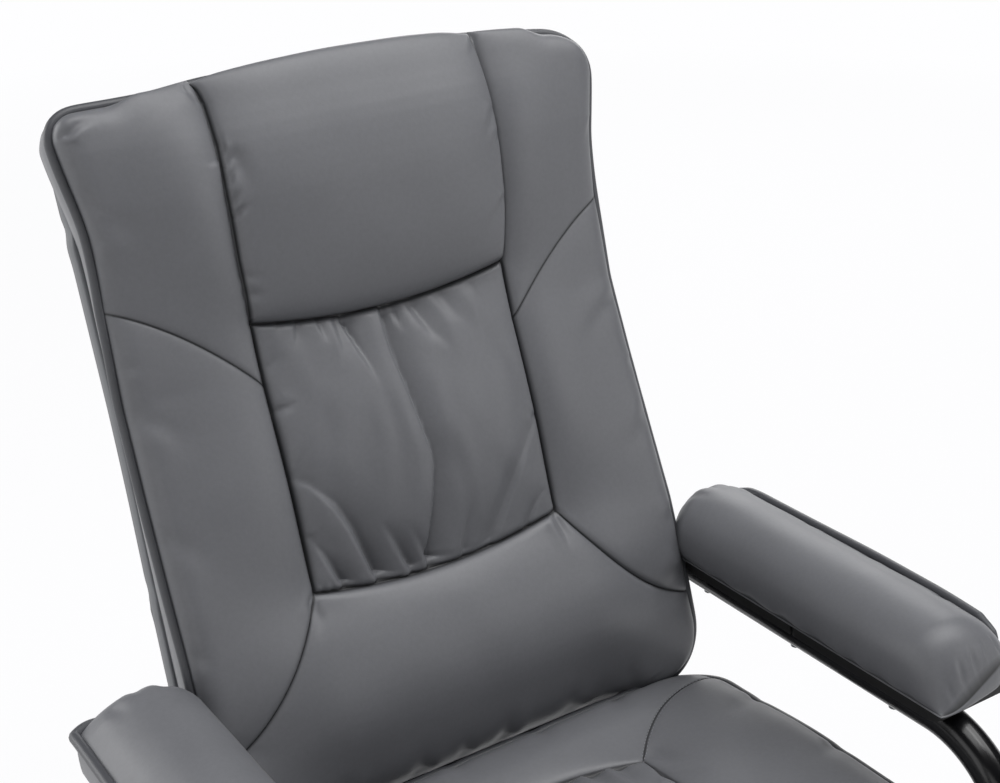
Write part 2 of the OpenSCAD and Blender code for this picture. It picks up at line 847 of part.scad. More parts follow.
function back_share(u) = (u - back_foot_u) / back_l;
function back_swell_at(u) = back_swell * lookup(back_share(u), back_swell_shares);
function back_bow_at(u) = back_bow * lookup(back_share(u), back_bow_shares);
function back_waist(u) = back_waist_in
    * pow(sin(180 * clamp01((back_share(u) - back_waist_share) / back_waist_span_share)), 2);

function back_hw(u) = back_half_w - back_waist(u) - corner_in(u - back_foot_u, back_foot_r)
    - corner_in(back_foot_u + back_l - u, back_top_r);

// The long seams splay towards the top, and below the lumbar seam they run out to the welts
function back_seam_x(u) = u < lumbar_seam_u
    ? back_seam_mid + (back_half_w - back_seam_mid)
        * lookup(1 - u / lumbar_seam_u, back_foot_seam_shares)
    : back_seam_mid + (back_seam_top - back_seam_mid)
        * clamp01((back_share(u) - back_splay_share) / (1 - back_splay_share));

function groove(d) = 1 - smooth(abs(d) / (2 * back_groove));

function back_mid_hump(u) = u > head_seam_u
    ? hump(u, head_seam_u, back_foot_u + back_l + back_head_over)
    : u > lumbar_seam_u
        ? back_lumbar_share * hump(u, lumbar_seam_u, head_seam_u)
        : back_foot_share * hump(u, back_foot_u - back_foot_over, lumbar_seam_u);

function back_front(x, u) =
    let (
        hw = back_hw(u),
        seam = back_seam_x(u),
        inside = abs(x) < seam,
        rim = smooth((abs(x) / hw - back_bow_from_share) / (1 - back_bow_from_share)),
        core = rim * back_bow_at(u) - (1 - rim) * back_swell_at(u),
        end = dome(min((u - back_foot_u) / 2, back_foot_u + back_l - u) / back_shoulder),
        full = end * dome((hw - abs(x)) / back_shoulder),
        across = back_across_share + (1 - back_across_share) * hump(abs(x) + seam, 0, 2 * seam),
        panel = inside ? back_mid_hump(u) * across : hump(abs(x), seam, hw + back_side_over),
        cross = inside ? max(groove(u - head_seam_u), groove(u - lumbar_seam_u)) : 0,
        cut = max(groove(abs(x) - seam), cross)
    )
    core + full * (back_groove * cut - back_crown * (back_rest_share + (1 - back_rest_share) * panel));

function back_row(u) =
    let (hw = back_hw(u), bow = back_bow_at(u), fold_y = (bow + back_depth) / 2)
    concat(
        [for (t = col_places(back_cols, back_bunch_share)) [t * hw, back_front(t * hw, u), u]],
        [
            [hw - back_fold_share * back_draw, fold_y, u],
            [hw - back_draw, back_depth, u],
            [-hw + back_draw, back_depth, u],
            [-hw + back_fold_share * back_draw, fold_y, u]
        ]
    );

module back_cushion() {
    color("#55585c") leaned() loft([for (s = row_shares(back_rows)) back_row(back_foot_u + s * back_l)]);
}

// Back board, hinge arms and the hollow rear cover
module back_panel(inset, r) {
    w = back_w - 2 * inset;
    l = back_l - 2 * inset;
    translate([0, back_foot_u + back_l / 2]) slab(w, l, r);
}

module facing_back(y) {
    translate([0, y, 0]) rotate([90, 0, 0]) mirror([0, 0, 1]) children();
}

module back_board() {
    color("#b08d5e") leaned() difference() {
        facing_back(back_board_y) linear_extrude(board_t) back_panel(back_board_inset, back_top_r);
        at_hinge_screws() facing_back(back_board_y + board_hole_rest)
            cylinder(d = wood_screw_d + 2 * screw_gap, h = board_t);
    }
}

module at_hinge_screws() {
    for (sx = [-1, 1], s = hinge_screw_shares)
        translate([sx * (hinge_x - hinge_flange_w / 2), 0, s * hinge_reach_u]) children();
}

module hinge_arm(side) {
    y = cover_y - seat_gap + weld_gap;
    color("#8d8f92") leaned() difference() {
        union() {
            side_view(side > 0 ? hinge_x : -hinge_x - plate_t) linear_extrude(plate_t) {
                translate([y, back_foot_u + back_board_inset])
                    square([hinge_depth, hinge_reach_u - back_foot_u - back_board_inset]);
                translate([y + boss_r / 4, pivot_lean[1]])
                    square([hinge_depth - boss_r / 4, back_foot_u + back_board_inset - pivot_lean[1]]);
                translate(pivot_lean) circle(r = boss_r);
            }
            translate([side > 0 ? hinge_x - hinge_flange_w : -hinge_x, y, hinge_flange_u])
                cube([hinge_flange_w, plate_t, hinge_reach_u - hinge_flange_u]);
        }
        side_view(side * hinge_x) translate(pivot_lean)
            cylinder(r = pivot_r + run_gap, h = 4 * plate_t, center = true);
        at_hinge_screws() facing_back(y - overrun)
            cylinder(d = wood_screw_d + 2 * screw_gap, h = plate_t + 2 * overrun);
    }
}

module hinge_arm_left() {
    hinge_arm(-1);
}

module hinge_arm_right() {
    hinge_arm(1);
}

module hinge_screws() {
    y = cover_y - seat_gap + weld_gap + plate_t;
    color("#7e8083") leaned() at_hinge_screws() translate([0, y, 0]) rotate([90, 0, 0])
        bolt(wood_screw_d, plate_t + board_t - board_bolt_rest, wood_head_d, wood_head_h);
}

module rear_cover() {
    slot_w = plate_t + hinge_slot_spare;
    slot_u = back_foot_u + cover_inset - overrun;
    color("#4d5054") leaned() difference() {
        facing_back(cover_y) linear_extrude(cover_depth) back_panel(cover_inset, cover_corner_r);
        facing_back(cover_y - overrun) linear_extrude(cover_depth - cover_wall + overrun)
            back_panel(cover_inset + cover_wall, cover_corner_r - cover_wall);
        for (sx = [-1, 1])
            translate([sx * (hinge_x + plate_t / 2) - slot_w / 2, cover_y - overrun, slot_u])
                cube([slot_w, cover_depth - cover_wall + overrun, cover_wall + 2 * overrun]);
    }
}

// Brackets on the rear cross bar that carry the pivots
module recline_bracket(side) {
    foot_y = bar_y + bar_w / 2 + weld_gap;
    rear_y = pivot_rake[0] + boss_r;
    color("#17181a") raked() difference() {
        side_view(side > 0 ? bracket_x : -bracket_x - plate_t) linear_extrude(plate_t) {
            translate([foot_y, -bar_h / 2]) square([rear_y - foot_y, bar_h]);
            translate([rear_y - 2 * boss_r, -bar_h / 2]) square([2 * boss_r, pivot_rake[1] + bar_h / 2]);
            translate(pivot_rake) circle(r = boss_r);
        }
        side_view(side * bracket_x) translate(pivot_rake)
            cylinder(r = pivot_r + screw_gap, h = 4 * plate_t, center = true);
    }
}

module recline_bracket_left() {
    recline_bracket(-1);
}

module recline_bracket_right() {
    recline_bracket(1);
}

module at_pivot(x) {
    translate([x, pivot_at[0], pivot_at[1]]) rotate([0, 90, 0]) children();
}

module pivot_bolt() {
    l = 2 * (plate_t + seat_gap) + pivot_nut_t + pivot_bolt_spare;
    color("#7e8083") {
        at_pivot(hinge_x - seat_gap) bolt(pivot_d, l, pivot_head_d, pivot_nut_t);
        at_pivot(bracket_x + plate_t + seat_gap) hex_nut(pivot_d, pivot_nut_r, pivot_nut_t);
    }
}

module clamp_stud() {
    color("#7e8083") mirror([1, 0, 0])
        at_pivot(hinge_x - seat_gap)
            bolt(pivot_d, stud_end_x - hinge_x + seat_gap, pivot_head_d, pivot_nut_t);
}

module clamp_knob() {
    hub_x = bracket_x + plate_t + seat_gap;
    lobe_r = knob_d / 6;
    color("#1a1b1d") mirror([1, 0, 0]) at_pivot(hub_x) difference() {
        union() {
            cylinder(r = knob_hub_r, h = knob_face_x - hub_x + knob_root);
            translate([0, 0, knob_face_x - hub_x]) cylinder(r = knob_d / 2 - lobe_r, h = knob_t);
            for (i = [0 : knob_lobes - 1]) rotate([0, 0, i * 360 / knob_lobes])
                translate([knob_d / 2 - lobe_r, 0, knob_face_x - hub_x]) cylinder(r = lobe_r, h = knob_t);
        }
        translate([0, 0, -overrun])
            cylinder(r = pivot_r + run_gap, h = stud_end_x - hub_x + overrun + knob_end_gap);
    }
}

// Vibration motors: a round can on a thin flange
module motor() {
    cylinder(d = motor_flange_d, h = motor_flange_t);
    cylinder(d = motor_d, h = motor_t);
}

module seat_motors() {
    color("#2a2b2d") raked() for (sx = [-1, 1])
        translate([sx * seat_motor_x, seat_motor_y, seat_board_z - seat_gap]) mirror([0, 0, 1]) motor();
}

module back_motors(u) {
    color("#2a2b2d") leaned() for (sx = [-1, 1])
        translate([sx * back_motor_x, 0, u]) facing_back(cover_y) motor();
}

module lumbar_motors() {
    back_motors(lumbar_motor_u);
}

module upper_motors() {
    back_motors(upper_motor_u);
}

module back_wiring() {
    wire_y = cover_y + wire_r;
    foot = back_foot_u + cover_inset + cover_wall + wire_foot;
    color("#1c1c1d") leaned() for (sx = [-1, 1]) {
        translate([sx * wire_x, wire_y, foot]) cylinder(r = wire_r, h = upper_motor_u - foot);
        translate([sx * wire_x, wire_y, upper_motor_u]) sphere(r = wire_r);
        for (u = [lumbar_motor_u, upper_motor_u])
            translate([sx * wire_x, wire_y, u]) rotate([0, sx * 90, 0])
                cylinder(r = wire_r, h = back_motor_x - motor_flange_d / 2 - wire_x - weld_gap);
    }
}

// Control box under the seat board, with the power inlet in its underside
box_rear_y = box_l / 2;
box_top = seat_board_z - seat_gap;

module control_box() {
    color("#26272a") raked() translate([box_x, -box_rear_y, box_top - box_h]) difference() {
        cube([box_w, box_l, box_h - box_wall]);
        translate([box_wall, box_wall, box_wall])
            cube([box_w - 2 * box_wall, box_l - 2 * box_wall, box_h]);
        translate([inlet_place_share * box_w, box_rear_y, -overrun])
            cylinder(d = inlet_body_d + 2 * weld_gap, h = box_wall + 2 * overrun);
    }
}

module control_lid() {
    color("#2f3033") raked() translate([box_x, -box_rear_y, box_top - box_wall])
        cube([box_w, box_l, box_wall]);
}

module power_inlet() {
    x = box_x + inlet_place_share * box_w;
    color("#111214") raked() translate([x, 0, box_top - box_h - inlet_flange_t]) difference() {
        union() {
            cylinder(d = inlet_flange_d, h = inlet_flange_t);
            cylinder(d = inlet_body_d, h = inlet_l + inlet_end_t);
        }
        translate([0, 0, -overrun]) cylinder(d = inlet_d, h = inlet_l + overrun);
    }
}

// Side pocket on the sitter's right, and the hand controller that stands in it
module side_pocket() {
    outer = pocket_depth + 2 * pocket_wall;
    color("#3c3e42") raked() mirror([1, 0, 0]) translate([pocket_x, -pocket_w / 2, pocket_z]) difference() {
        cube([outer, pocket_w, pocket_h]);
        translate([pocket_wall, pocket_wall, pocket_wall])
            cube([pocket_depth, pocket_w - 2 * pocket_wall, pocket_h]);
    }
}

module in_controller() {
    raked() mirror([1, 0, 0]) translate([remote_x, 0, remote_z]) rotate([90, 0, 90]) children();
}

module controller_outline(inset) {
    translate([0, remote_h / 2])
        slab(remote_w - 2 * inset, remote_h - 2 * inset, remote_corner_r - inset);
}

module controller_back() {
    color("#1d1e21") in_controller() difference() {
        linear_extrude(remote_split) controller_outline(0);
        translate([0, 0, remote_wall]) linear_extrude(remote_split) controller_outline(remote_wall);
    }
}

module controller_front() {
    color("#2b2d31") in_controller() translate([0, 0, remote_split]) difference() {
        linear_extrude(remote_t - remote_split) controller_outline(0);
        translate([0, 0, -overrun]) linear_extrude(remote_t - remote_split - remote_wall + overrun)
            controller_outline(remote_wall);
        for (p = button_places) translate([p[0], p[1], 0])
            cylinder(r = button_d / 2 + screw_gap, h = remote_t);
    }
}

module controller_board() {
    color("#2c5b3a") in_controller() translate([0, 0, remote_wall + seat_gap]) linear_extrude(pcb_t)
        controller_outline(remote_wall + seat_gap);
}

button_places = [
    [0, button_rows[0]],
    [-button_side, button_rows[1]],
    [button_side, button_rows[1]],
    [-button_side, button_rows[2]],
    [button_side, button_rows[2]]
];

module button(i) {
    seat = remote_wall + seat_gap + pcb_t + seat_gap + button_travel;
    color("#a9acb1") in_controller() translate([button_places[i][0], button_places[i][1], seat]) {
        cylinder(d = button_d, h = remote_t + button_proud - seat);
        cylinder(r = button_d / 2 + button_flange, h = button_flange);
    }
}

module power_button() {
    button(0);
}

module mode_button() {
    button(1);
}

module back_button() {
    button(2);
}

module seat_button() {
    button(3);
}

module speed_button() {
    button(4);
}

// Footstool
module stool_floor_ring() {
    color("#1c1c1d") at_stool() floor_ring(stool_ring_r);
}

module stool_ring() {
    color("#17181a") at_stool() ring_tube(stool_ring_r);
}

module stool_spokes() {
    color("#17181a") at_stool() spokes(stool_ring_r, stool_column_r);
}

module stool_column() {
    color("#17181a") at_stool() difference() {
        translate([0, 0, column_bottom]) cylinder(r = stool_column_r, h = stool_plate_z - column_bottom);
        cylinder(r = stool_column_r - tube_wall, h = stool_plate_z + overrun);
    }
}

module at_stool_bolts() {
    for (sx = [-1, 1], sy = [-1, 1])
        translate([sx * stool_bolt_x, sy * stool_bolt_x - stool_dist, stool_plate_z]) children();
}

module stool_plate() {
    color("#17181a") difference() {
        at_stool() translate([0, 0, stool_plate_z]) linear_extrude(stool_plate_t)
            slab(stool_plate_w, stool_plate_w, plate_corner_r);
        at_stool_bolts() translate([0, 0, -overrun])
            cylinder(d = board_bolt_d + 2 * screw_gap, h = stool_plate_t + 2 * overrun);
    }
}

module stool_bolts() {
    color("#7e8083") at_stool_bolts() translate([0, 0, -weld_gap])
        bolt(board_bolt_d, stool_plate_t + stool_board_t - board_bolt_rest, board_head_d, board_head_h);
}

module stool_board() {
    w = stool_w - 2 * (seat_draw + seat_board_inset);
    l = stool_l - 2 * (seat_draw + seat_board_inset);
    color("#b08d5e") difference() {
        at_stool() translate([0, 0, stool_board_z]) linear_extrude(stool_board_t)
            slab(w, l, stool_corner_r);
        at_stool_bolts()
            cylinder(d = board_bolt_d + 2 * screw_gap, h = stool_plate_t + stool_board_t - board_hole_rest);
    }
}

// Footstool cushion: the seat's side panels and middle panel, with all four sides alike
stool_rows = 22;
stool_cols = 20;

function stool_half_w(y) = stool_w / 2 - corner_in(stool_l / 2 - abs(y), stool_corner_r);

function stool_top(x, y) =
    let (
        hw = stool_half_w(y),
        edge = dome((hw - abs(x)) / seat_end_crown),
        ends = dome((stool_l / 2 - abs(y)) / seat_end_crown),
        seam = stool_seam_share * stool_w / 2,
        panel = abs(x) < seam
            ? mid_hump_share * hump(abs(x) + seam, 0, 2 * seam)
            : hump(abs(x), seam, hw + seam / 2),
        near = 1 - smooth(abs(abs(x) - seam) / (2 * seat_groove)),
        crown = seat_crown * (crown_rest_share + (1 - crown_rest_share) * panel)
    )
    stool_z + stool_side_h + ends * edge * (crown - seat_groove * near);

function stool_row(y) =
    let (hw = stool_half_w(y), fold = stool_z + side_fold_share * stool_side_h)
    concat(
        [for (t = col_places(stool_cols, col_bunch_share)) [t * hw, y, stool_top(t * hw, y)]],
        [
            [hw - seat_draw, y, fold],
            [hw - seat_draw, y, stool_z],
            [-hw + seat_draw, y, stool_z],
            [-hw + seat_draw, y, fold]
        ]
    );

module stool_cushion() {
    color("#55585c") at_stool() loft([for (s = row_shares(stool_rows)) stool_row((s - 0.5) * stool_l)]);
}

base_floor_ring();
base_ring();
base_spokes();
base_column();
column_bushes();
thrust_washer();
swivel_shaft();
shaft_circlip();
swivel_plate();
tilt_bracket();
swivel_bolts();
front_cross_bar();
rear_cross_bar();
arm_saddles();
arm_bolts();
arm_loop_left();
arm_loop_right();
arm_board_left();
arm_board_right();
arm_screws();
arm_cushion_left();
arm_cushion_right();
seat_board();
seat_bolts();
seat_cushion();
seat_motors();
control_box();
control_lid();
power_inlet();
side_pocket();
recline_bracket_left();
recline_bracket_right();
pivot_bolt();
clamp_stud();
clamp_knob();
hinge_arm_left();
hinge_arm_right();
hinge_screws();
back_board();
back_cushion();
rear_cover();
lumbar_motors();
upper_motors();
back_wiring();
controller_back();
controller_front();
controller_board();
power_button();
mode_button();
back_button();
seat_button();
speed_button();
stool_floor_ring();
stool_ring();
stool_spokes();
stool_column();
stool_plate();
stool_bolts();
stool_board();
stool_cushion();
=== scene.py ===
import json
import math

import bmesh
import bpy
import numpy as np
from mathutils import Matrix, Vector, noise


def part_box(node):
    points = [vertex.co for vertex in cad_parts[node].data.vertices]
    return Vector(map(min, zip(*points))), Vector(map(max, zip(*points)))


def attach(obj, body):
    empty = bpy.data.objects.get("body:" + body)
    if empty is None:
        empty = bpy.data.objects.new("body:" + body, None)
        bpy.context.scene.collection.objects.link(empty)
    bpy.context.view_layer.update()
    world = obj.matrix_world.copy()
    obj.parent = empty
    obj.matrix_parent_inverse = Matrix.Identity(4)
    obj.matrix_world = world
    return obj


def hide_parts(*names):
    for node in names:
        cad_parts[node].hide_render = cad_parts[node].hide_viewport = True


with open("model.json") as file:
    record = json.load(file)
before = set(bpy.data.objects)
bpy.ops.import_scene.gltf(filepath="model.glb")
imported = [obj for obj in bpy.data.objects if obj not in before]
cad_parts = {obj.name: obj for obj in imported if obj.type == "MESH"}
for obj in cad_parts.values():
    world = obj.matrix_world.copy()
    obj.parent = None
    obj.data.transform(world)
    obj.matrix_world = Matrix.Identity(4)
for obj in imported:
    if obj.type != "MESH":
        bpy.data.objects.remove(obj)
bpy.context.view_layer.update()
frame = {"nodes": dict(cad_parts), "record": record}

# ---------------------------------------------------------------------------------------------
# Camera: it stands in front of the chair on the sitter's right and looks down on the
# backrest. Its place and lens were worked out from the mirror pairs of seams in the photograph.
scene = bpy.context.scene


def put(name, data):
    """Makes an object of some data and puts it into the scene."""
    made = bpy.data.objects.new(name, data)
    scene.collection.objects.link(made)
    return made


camera = put("camera", bpy.data.cameras.new("camera"))
camera.location = (-0.6604, -0.8789, 1.4724)
camera.rotation_mode = "QUATERNION"
camera.rotation_quaternion = Vector((0.48088, 0.74400, -0.46391)).to_track_quat("-Z", "Y")
camera.data.sensor_width = 36.0
camera.data.lens = 61.56
camera.data.clip_start = 0.05
camera.data.clip_end = 60.0
scene.camera = camera
scene.view_settings.view_transform = "Standard"

# ---------------------------------------------------------------------------------------------
# Studio: a pale seamless floor and soft lamps. The floor shows itself to the camera, to gloss
# and to clear parts as almost white, and keeps the soft shadow that the chair throws.


def linear(code):
    """An sRGB hex value as linear red, green, blue and alpha."""
    parts = [int(code[i:i + 2], 16) / 255 for i in (1, 3, 5)]
    return [c / 12.92 if c <= 0.04045 else ((c + 0.055) / 1.055) ** 2.4 for c in parts] + [1.0]


def add(tree, kind, sockets=None, **settings):
    """Adds a node, sets its settings and fills its inputs. A socket, or a node by its first
    output, is linked; anything else is a value. Shader nodes go by their short names."""
    made = tree.nodes.new(kind if "Node" in kind else "ShaderNode" + kind)
    for key, value in settings.items():
        setattr(made, key, value)
    for key, value in (sockets or {}).items():
        if isinstance(value, bpy.types.Node):
            value = value.outputs[0]
        if isinstance(value, bpy.types.NodeSocket):
            tree.links.new(value, made.inputs[key])
        else:
            made.inputs[key].default_value = value
    return made


def new_material(name):
    made = bpy.data.materials.new(name)
    made.use_nodes = True
    made.node_tree.nodes.clear()
    return made, made.node_tree


FLOOR_REACH = 14.0
floor_mesh = bpy.data.meshes.new("studio_floor")
floor_mesh.from_pydata(
    [(x * FLOOR_REACH, y * FLOOR_REACH, 0) for x, y in ((-1, -1), (1, -1), (1, 1), (-1, 1))],
    [], [(0, 1, 2, 3)])
floor = put("studio_floor", floor_mesh)
pale, tree = new_material("pale studio floor")
seen = add(tree, "LightPath").outputs
direct = add(tree, "Math", {0: seen["Is Camera Ray"], 1: seen["Is Glossy Ray"]},
             operation="MAXIMUM")
direct = add(tree, "Math", {0: direct, 1: seen["Is Transmission Ray"]}, operation="MAXIMUM")
# Away from the object the floor runs out into the white of the backdrop
where = add(tree, "TexCoord").outputs["Object"]
away = add(tree, "VectorMath", {0: where}, operation="LENGTH").outputs["Value"]
level = add(tree, "MapRange", {"Value": away, "From Min": 1.6, "From Max": 4.0,
                               "To Min": 0.90, "To Max": 1.0})
share = add(tree, "Math", {0: direct, 1: level}, operation="MULTIPLY")
matte = add(tree, "BsdfDiffuse", {"Color": linear("#F3F3F4")})
bright = add(tree, "Emission", {"Color": linear("#FEFEFF"), "Strength": 1.0})
both = add(tree, "MixShader", {0: share, 1: matte, 2: bright})
add(tree, "OutputMaterial", {"Surface": both})
floor_mesh.materials.append(pale)

world = bpy.data.worlds.new("studio")
scene.world = world
world.use_nodes = True
tree = world.node_tree
tree.nodes.clear()
seen = add(tree, "LightPath").outputs["Is Camera Ray"]
room = add(tree, "Background", {"Color": linear("#F4F6FA"), "Strength": 0.02})
white = add(tree, "Background", {"Color": linear("#FEFEFF"), "Strength": 1.0})
both = add(tree, "MixShader", {0: seen, 1: room, 2: white})
add(tree, "OutputWorld", {"Surface": both})

LIT_POINT, SOFTBOX_SIDE = Vector((0, 0.1, 0.7)), 2.0
for name, place, power in (
        ("above_right", (1.5, -0.3, 3.2), 49), ("overhead", (0, 0, 3.4), 41),
        ("rear_left", (-2.2, 2.4, 1.6), 52), ("rear_right", (2.2, 2.4, 1.6), 31),
        ("front_right", (2.2, -2.6, 1.8), 23), ("front_left", (-2.4, -2.4, 1.8), 15),
        ("left", (-3.2, 0, 1.5), 18)):
    lamp = put(f"softbox_{name}", bpy.data.lights.new(f"softbox_{name}", "AREA"))
    lamp.data.shape = "RECTANGLE"
    lamp.data.size = lamp.data.size_y = SOFTBOX_SIDE
    lamp.data.energy = power
    lamp.location = place
    lamp.rotation_mode = "QUATERNION"
    lamp.rotation_quaternion = (LIT_POINT - Vector(place)).to_track_quat("-Z", "Y")

# ---------------------------------------------------------------------------------------------
# Backrest cushion: foam under smooth grey leathercloth, sewn from seven panels. A head pillow
# swells at the top, a gathered lumbar panel lies between two long seams, and a foot panel runs
# out to the welts. It is pulled over the plywood board and stapled behind.
MM = 0.001


def slope_frame(origin, degrees):
    """Matrix of a frame that leans back by some degrees, from its millimetres to metres."""
    turn = Matrix.Rotation(-math.radians(degrees), 4, "X")
    return Matrix.Translation(Vector(origin) * MM) @ turn @ Matrix.Scale(MM, 4)


LEANED = slope_frame((0, 171.546, 429.672), 21.8)
BACK_FOOT, BACK_TOP, BACK_HALF = 8.0, 656.0, 252.0
LUMBAR_SEAM, DIAGONAL_SEAM, HEAD_SEAM = 212.0, 397.0, 452.0
LONG_SEAM, SIDE_PANEL, FINE_STEP = 126.5, 124.0, 2.1


def smooth(t):
    t = np.clip(t, 0, 1)
    return t * t * (3 - 2 * t)


def dome(t):
    return np.sqrt(np.maximum(0, 1 - (1 - np.clip(t, 0, 1)) ** 3))


def spread(start, end, step, bunch=0.5):
    """Places from start to end about a step apart, closer together at both ends."""
    n = max(2, round(abs(end - start) / step))
    t = np.arange(n + 1) / n
    t = (1 - bunch) * t + bunch * (1 - np.cos(np.pi * t)) / 2
    return start + (end - start) * t


def joined(*runs):
    return np.concatenate([runs[0]] + [r[1:] for r in runs[1:]])


def eased(row, times):
    """A row of values or points with its bends eased and its ends kept."""
    for _ in range(times):
        row[1:-1] = (row[:-2] + 2 * row[1:-1] + row[2:]) / 4
    return row


def round_corners(x, y, half, low, high, r_low, r_high):
    """Maps a rectangle's grid to one with round corners, square cells becoming a quarter disc."""
    i_low = np.clip((np.abs(x) - (half - r_low)) / r_low, 0, 1)
    j_low = np.clip((low + r_low - y) / r_low, 0, 1)
    i_high = np.clip((np.abs(x) - (half - r_high)) / r_high, 0, 1)
    j_high = np.clip((y - (high - r_high)) / r_high, 0, 1)
    x2 = np.abs(x) - r_low * i_low * (1 - np.sqrt(1 - j_low ** 2 / 2))
    x2 = x2 - r_high * i_high * (1 - np.sqrt(1 - j_high ** 2 / 2))
    y2 = y + r_low * j_low * (1 - np.sqrt(1 - i_low ** 2 / 2))
    y2 = y2 - r_high * j_high * (1 - np.sqrt(1 - i_high ** 2 / 2))
    return np.sign(x) * x2, y2


def line_distance(x, y, line):
    """Distance from points to a line, the share of the way along it, and the side they are on."""
    line = np.asarray(line, float)
    lengths = np.hypot(*(line[1:] - line[:-1]).T)
    total, run = lengths.sum(), 0.0
    best = np.full(x.shape, 1e9)
    share, side = np.zeros(x.shape), np.zeros(x.shape)
    for a, b, length in zip(line[:-1], line[1:], lengths):
        dx, dy = (b - a) / length
        t = np.clip((x - a[0]) * dx + (y - a[1]) * dy, 0, length)
        d = np.hypot(x - a[0] - t * dx, y - a[1] - t * dy)
        near = d < best
        best = np.where(near, d, best)
        share = np.where(near, (run + t) / total, share)
        side = np.where(near, np.sign((x - a[0]) * dy - (y - a[1]) * dx), side)
        run += length
    return best, share, side


NOISE_STRETCH = 7.31


def ripple(points, size, seed):
    """Smooth noise between about -1 and 1 on a grid of points, with waves of that size in mm.
    The seed picks a stretch of the noise."""
    flat = points.reshape(-1, 3) / size + seed * NOISE_STRETCH
    return np.array([noise.noise(Vector(p)) for p in flat]).reshape(points.shape[:-1])


def fold(x, y, line, width, depth, lip):
    """A crease pressed along a line, with a soft lip beside it. It fades towards its end."""
    d, share, side = line_distance(x, y, line)
    tip = np.where(share <= 0, np.exp(-(d / width) ** 2 / 2), 1)
    signed = d * side / width
    shape = np.exp(-signed ** 2) - lip * np.exp(-((signed - 1.7) / 1.2) ** 2)
    return depth * (1 - smooth(share)) * shape * tip


def folds(x, y, table, lip=0.55):
    """The folds of a table together. A row holds a width and a depth in mm, then the x, y, x, y
    and so on of the points of the fold's line."""
    return sum(fold(x, y, np.reshape(line, (-1, 2)), width, depth, lip)
               for width, depth, *line in table)


def crease(x, y, line, near, far, depth, start, end):
    """A sharp crease where one lobe of cloth drops behind the next. Seen up its line it drops
    steeply from a full lobe on the left and rises slowly on the right."""
    d, share, side = line_distance(x, y, line)
    strength = start + (end - start) * smooth(share)
    ends = (share <= 0) | (share >= 1)
    lobe = np.exp(-(d / near) ** 2) - 0.12 * np.exp(-((d - 14) / 9) ** 2)
    shape = np.where(side > 0, np.exp(-d / far), lobe)
    return depth * strength * np.where(ends, np.exp(-(d / min(near, far)) ** 2), shape)


def unit(ways):
    return ways / np.maximum(np.linalg.norm(ways, axis=-1, keepdims=True), 1e-9)


def out_of(ring, ways):
    """Unit vectors along some ways at the points of a ring, turned to point out of it."""
    ways = unit(ways)
    return ways * np.sign(np.sum(ways * (ring - ring.mean(0)), 1).mean())


def link(name, verts, faces):
    mesh = bpy.data.meshes.new(name)
    mesh.from_pydata([tuple(v) for v in verts], [], [tuple(int(i) for i in f) for f in faces])
    mesh.validate()
    mesh.polygons.foreach_set("use_smooth", [True] * len(mesh.polygons))
    return put(name, mesh)


CLOTH_SCALE, CLOTH_FRAMES, CLOTH_PRESSURE = 0.01, 20, -0.08


def sewn(points, pinned, cap, pattern):
    """Lets the cloth of a cover settle over its padding: a cloth simulation of every second
    point of a grid, in mm, held along its seams. The pattern is the shape that the cloth was
    cut to, wider than its place where it is gathered. Returns how far each point moves, which
    stays under the cap."""
    rows, cols = np.arange(0, points.shape[0], 2), np.arange(0, points.shape[1], 2)
    rows = np.union1d(rows, points.shape[0] - 1)
    cols = np.union1d(cols, points.shape[1] - 1)
    hold = pinned[np.ix_(rows, cols)]
    start = points[np.ix_(rows, cols)]
    n, m = start.shape[:2]
    at = np.arange(n * m).reshape(n, m)
    faces = np.stack([at[:-1, :-1], at[:-1, 1:], at[1:, 1:], at[1:, :-1]], -1).reshape(-1, 4)
    sheet = link("cloth_trial", start.reshape(-1, 3) * CLOTH_SCALE, faces)
    sheet.shape_key_add(name="Basis")
    cut = sheet.shape_key_add(name="cut pattern")
    cut.data.foreach_set("co", (pattern[np.ix_(rows, cols)] * CLOTH_SCALE).ravel())
    cut.value = 0.0
    group = sheet.vertex_groups.new(name="pinned")
    group.add([int(i) for i in np.flatnonzero(hold.ravel())], 1.0, "REPLACE")
    cloth = sheet.modifiers.new("cloth", "CLOTH")
    settings = cloth.settings
    settings.vertex_group_mass = "pinned"
    settings.rest_shape_key = cut
    settings.quality = 8
    settings.mass = 0.3
    settings.tension_stiffness = settings.compression_stiffness = 40
    settings.shear_stiffness = 12
    settings.bending_stiffness = 0.8
    settings.tension_damping = settings.compression_damping = settings.shear_damping = 12
    settings.air_damping = 4
    settings.use_pressure = True
    settings.uniform_pressure_force = CLOTH_PRESSURE
    settings.effector_weights.gravity = 0
    cloth.collision_settings.use_collision = False
    for f in range(1, CLOTH_FRAMES + 1):
        scene.frame_set(f)
    result = sheet.evaluated_get(bpy.context.evaluated_depsgraph_get()).data
    co = np.zeros(n * m * 3, np.float32)
    result.vertices.foreach_get("co", co)
    moved = co.reshape(n, m, 3) / CLOTH_SCALE - start
    scene.frame_set(1)
    bpy.data.objects.remove(sheet)
    moved = np.where(np.isfinite(moved), moved, 0)
    length = np.linalg.norm(moved, axis=-1, keepdims=True)
    moved = moved * cap * np.tanh(length / cap) / np.maximum(length, 1e-6)
    full_r, full_c = np.arange(points.shape[0]), np.arange(points.shape[1])
    wide = np.stack([[np.interp(full_c, cols, moved[i, :, k]) for k in range(3)]
                     for i in range(n)])
    tall = np.stack([[np.interp(full_r, rows, wide[:, k, j]) for j in range(len(full_c))]
                     for k in range(3)])
    return np.moveaxis(tall, (0, 1, 2), (2, 1, 0))


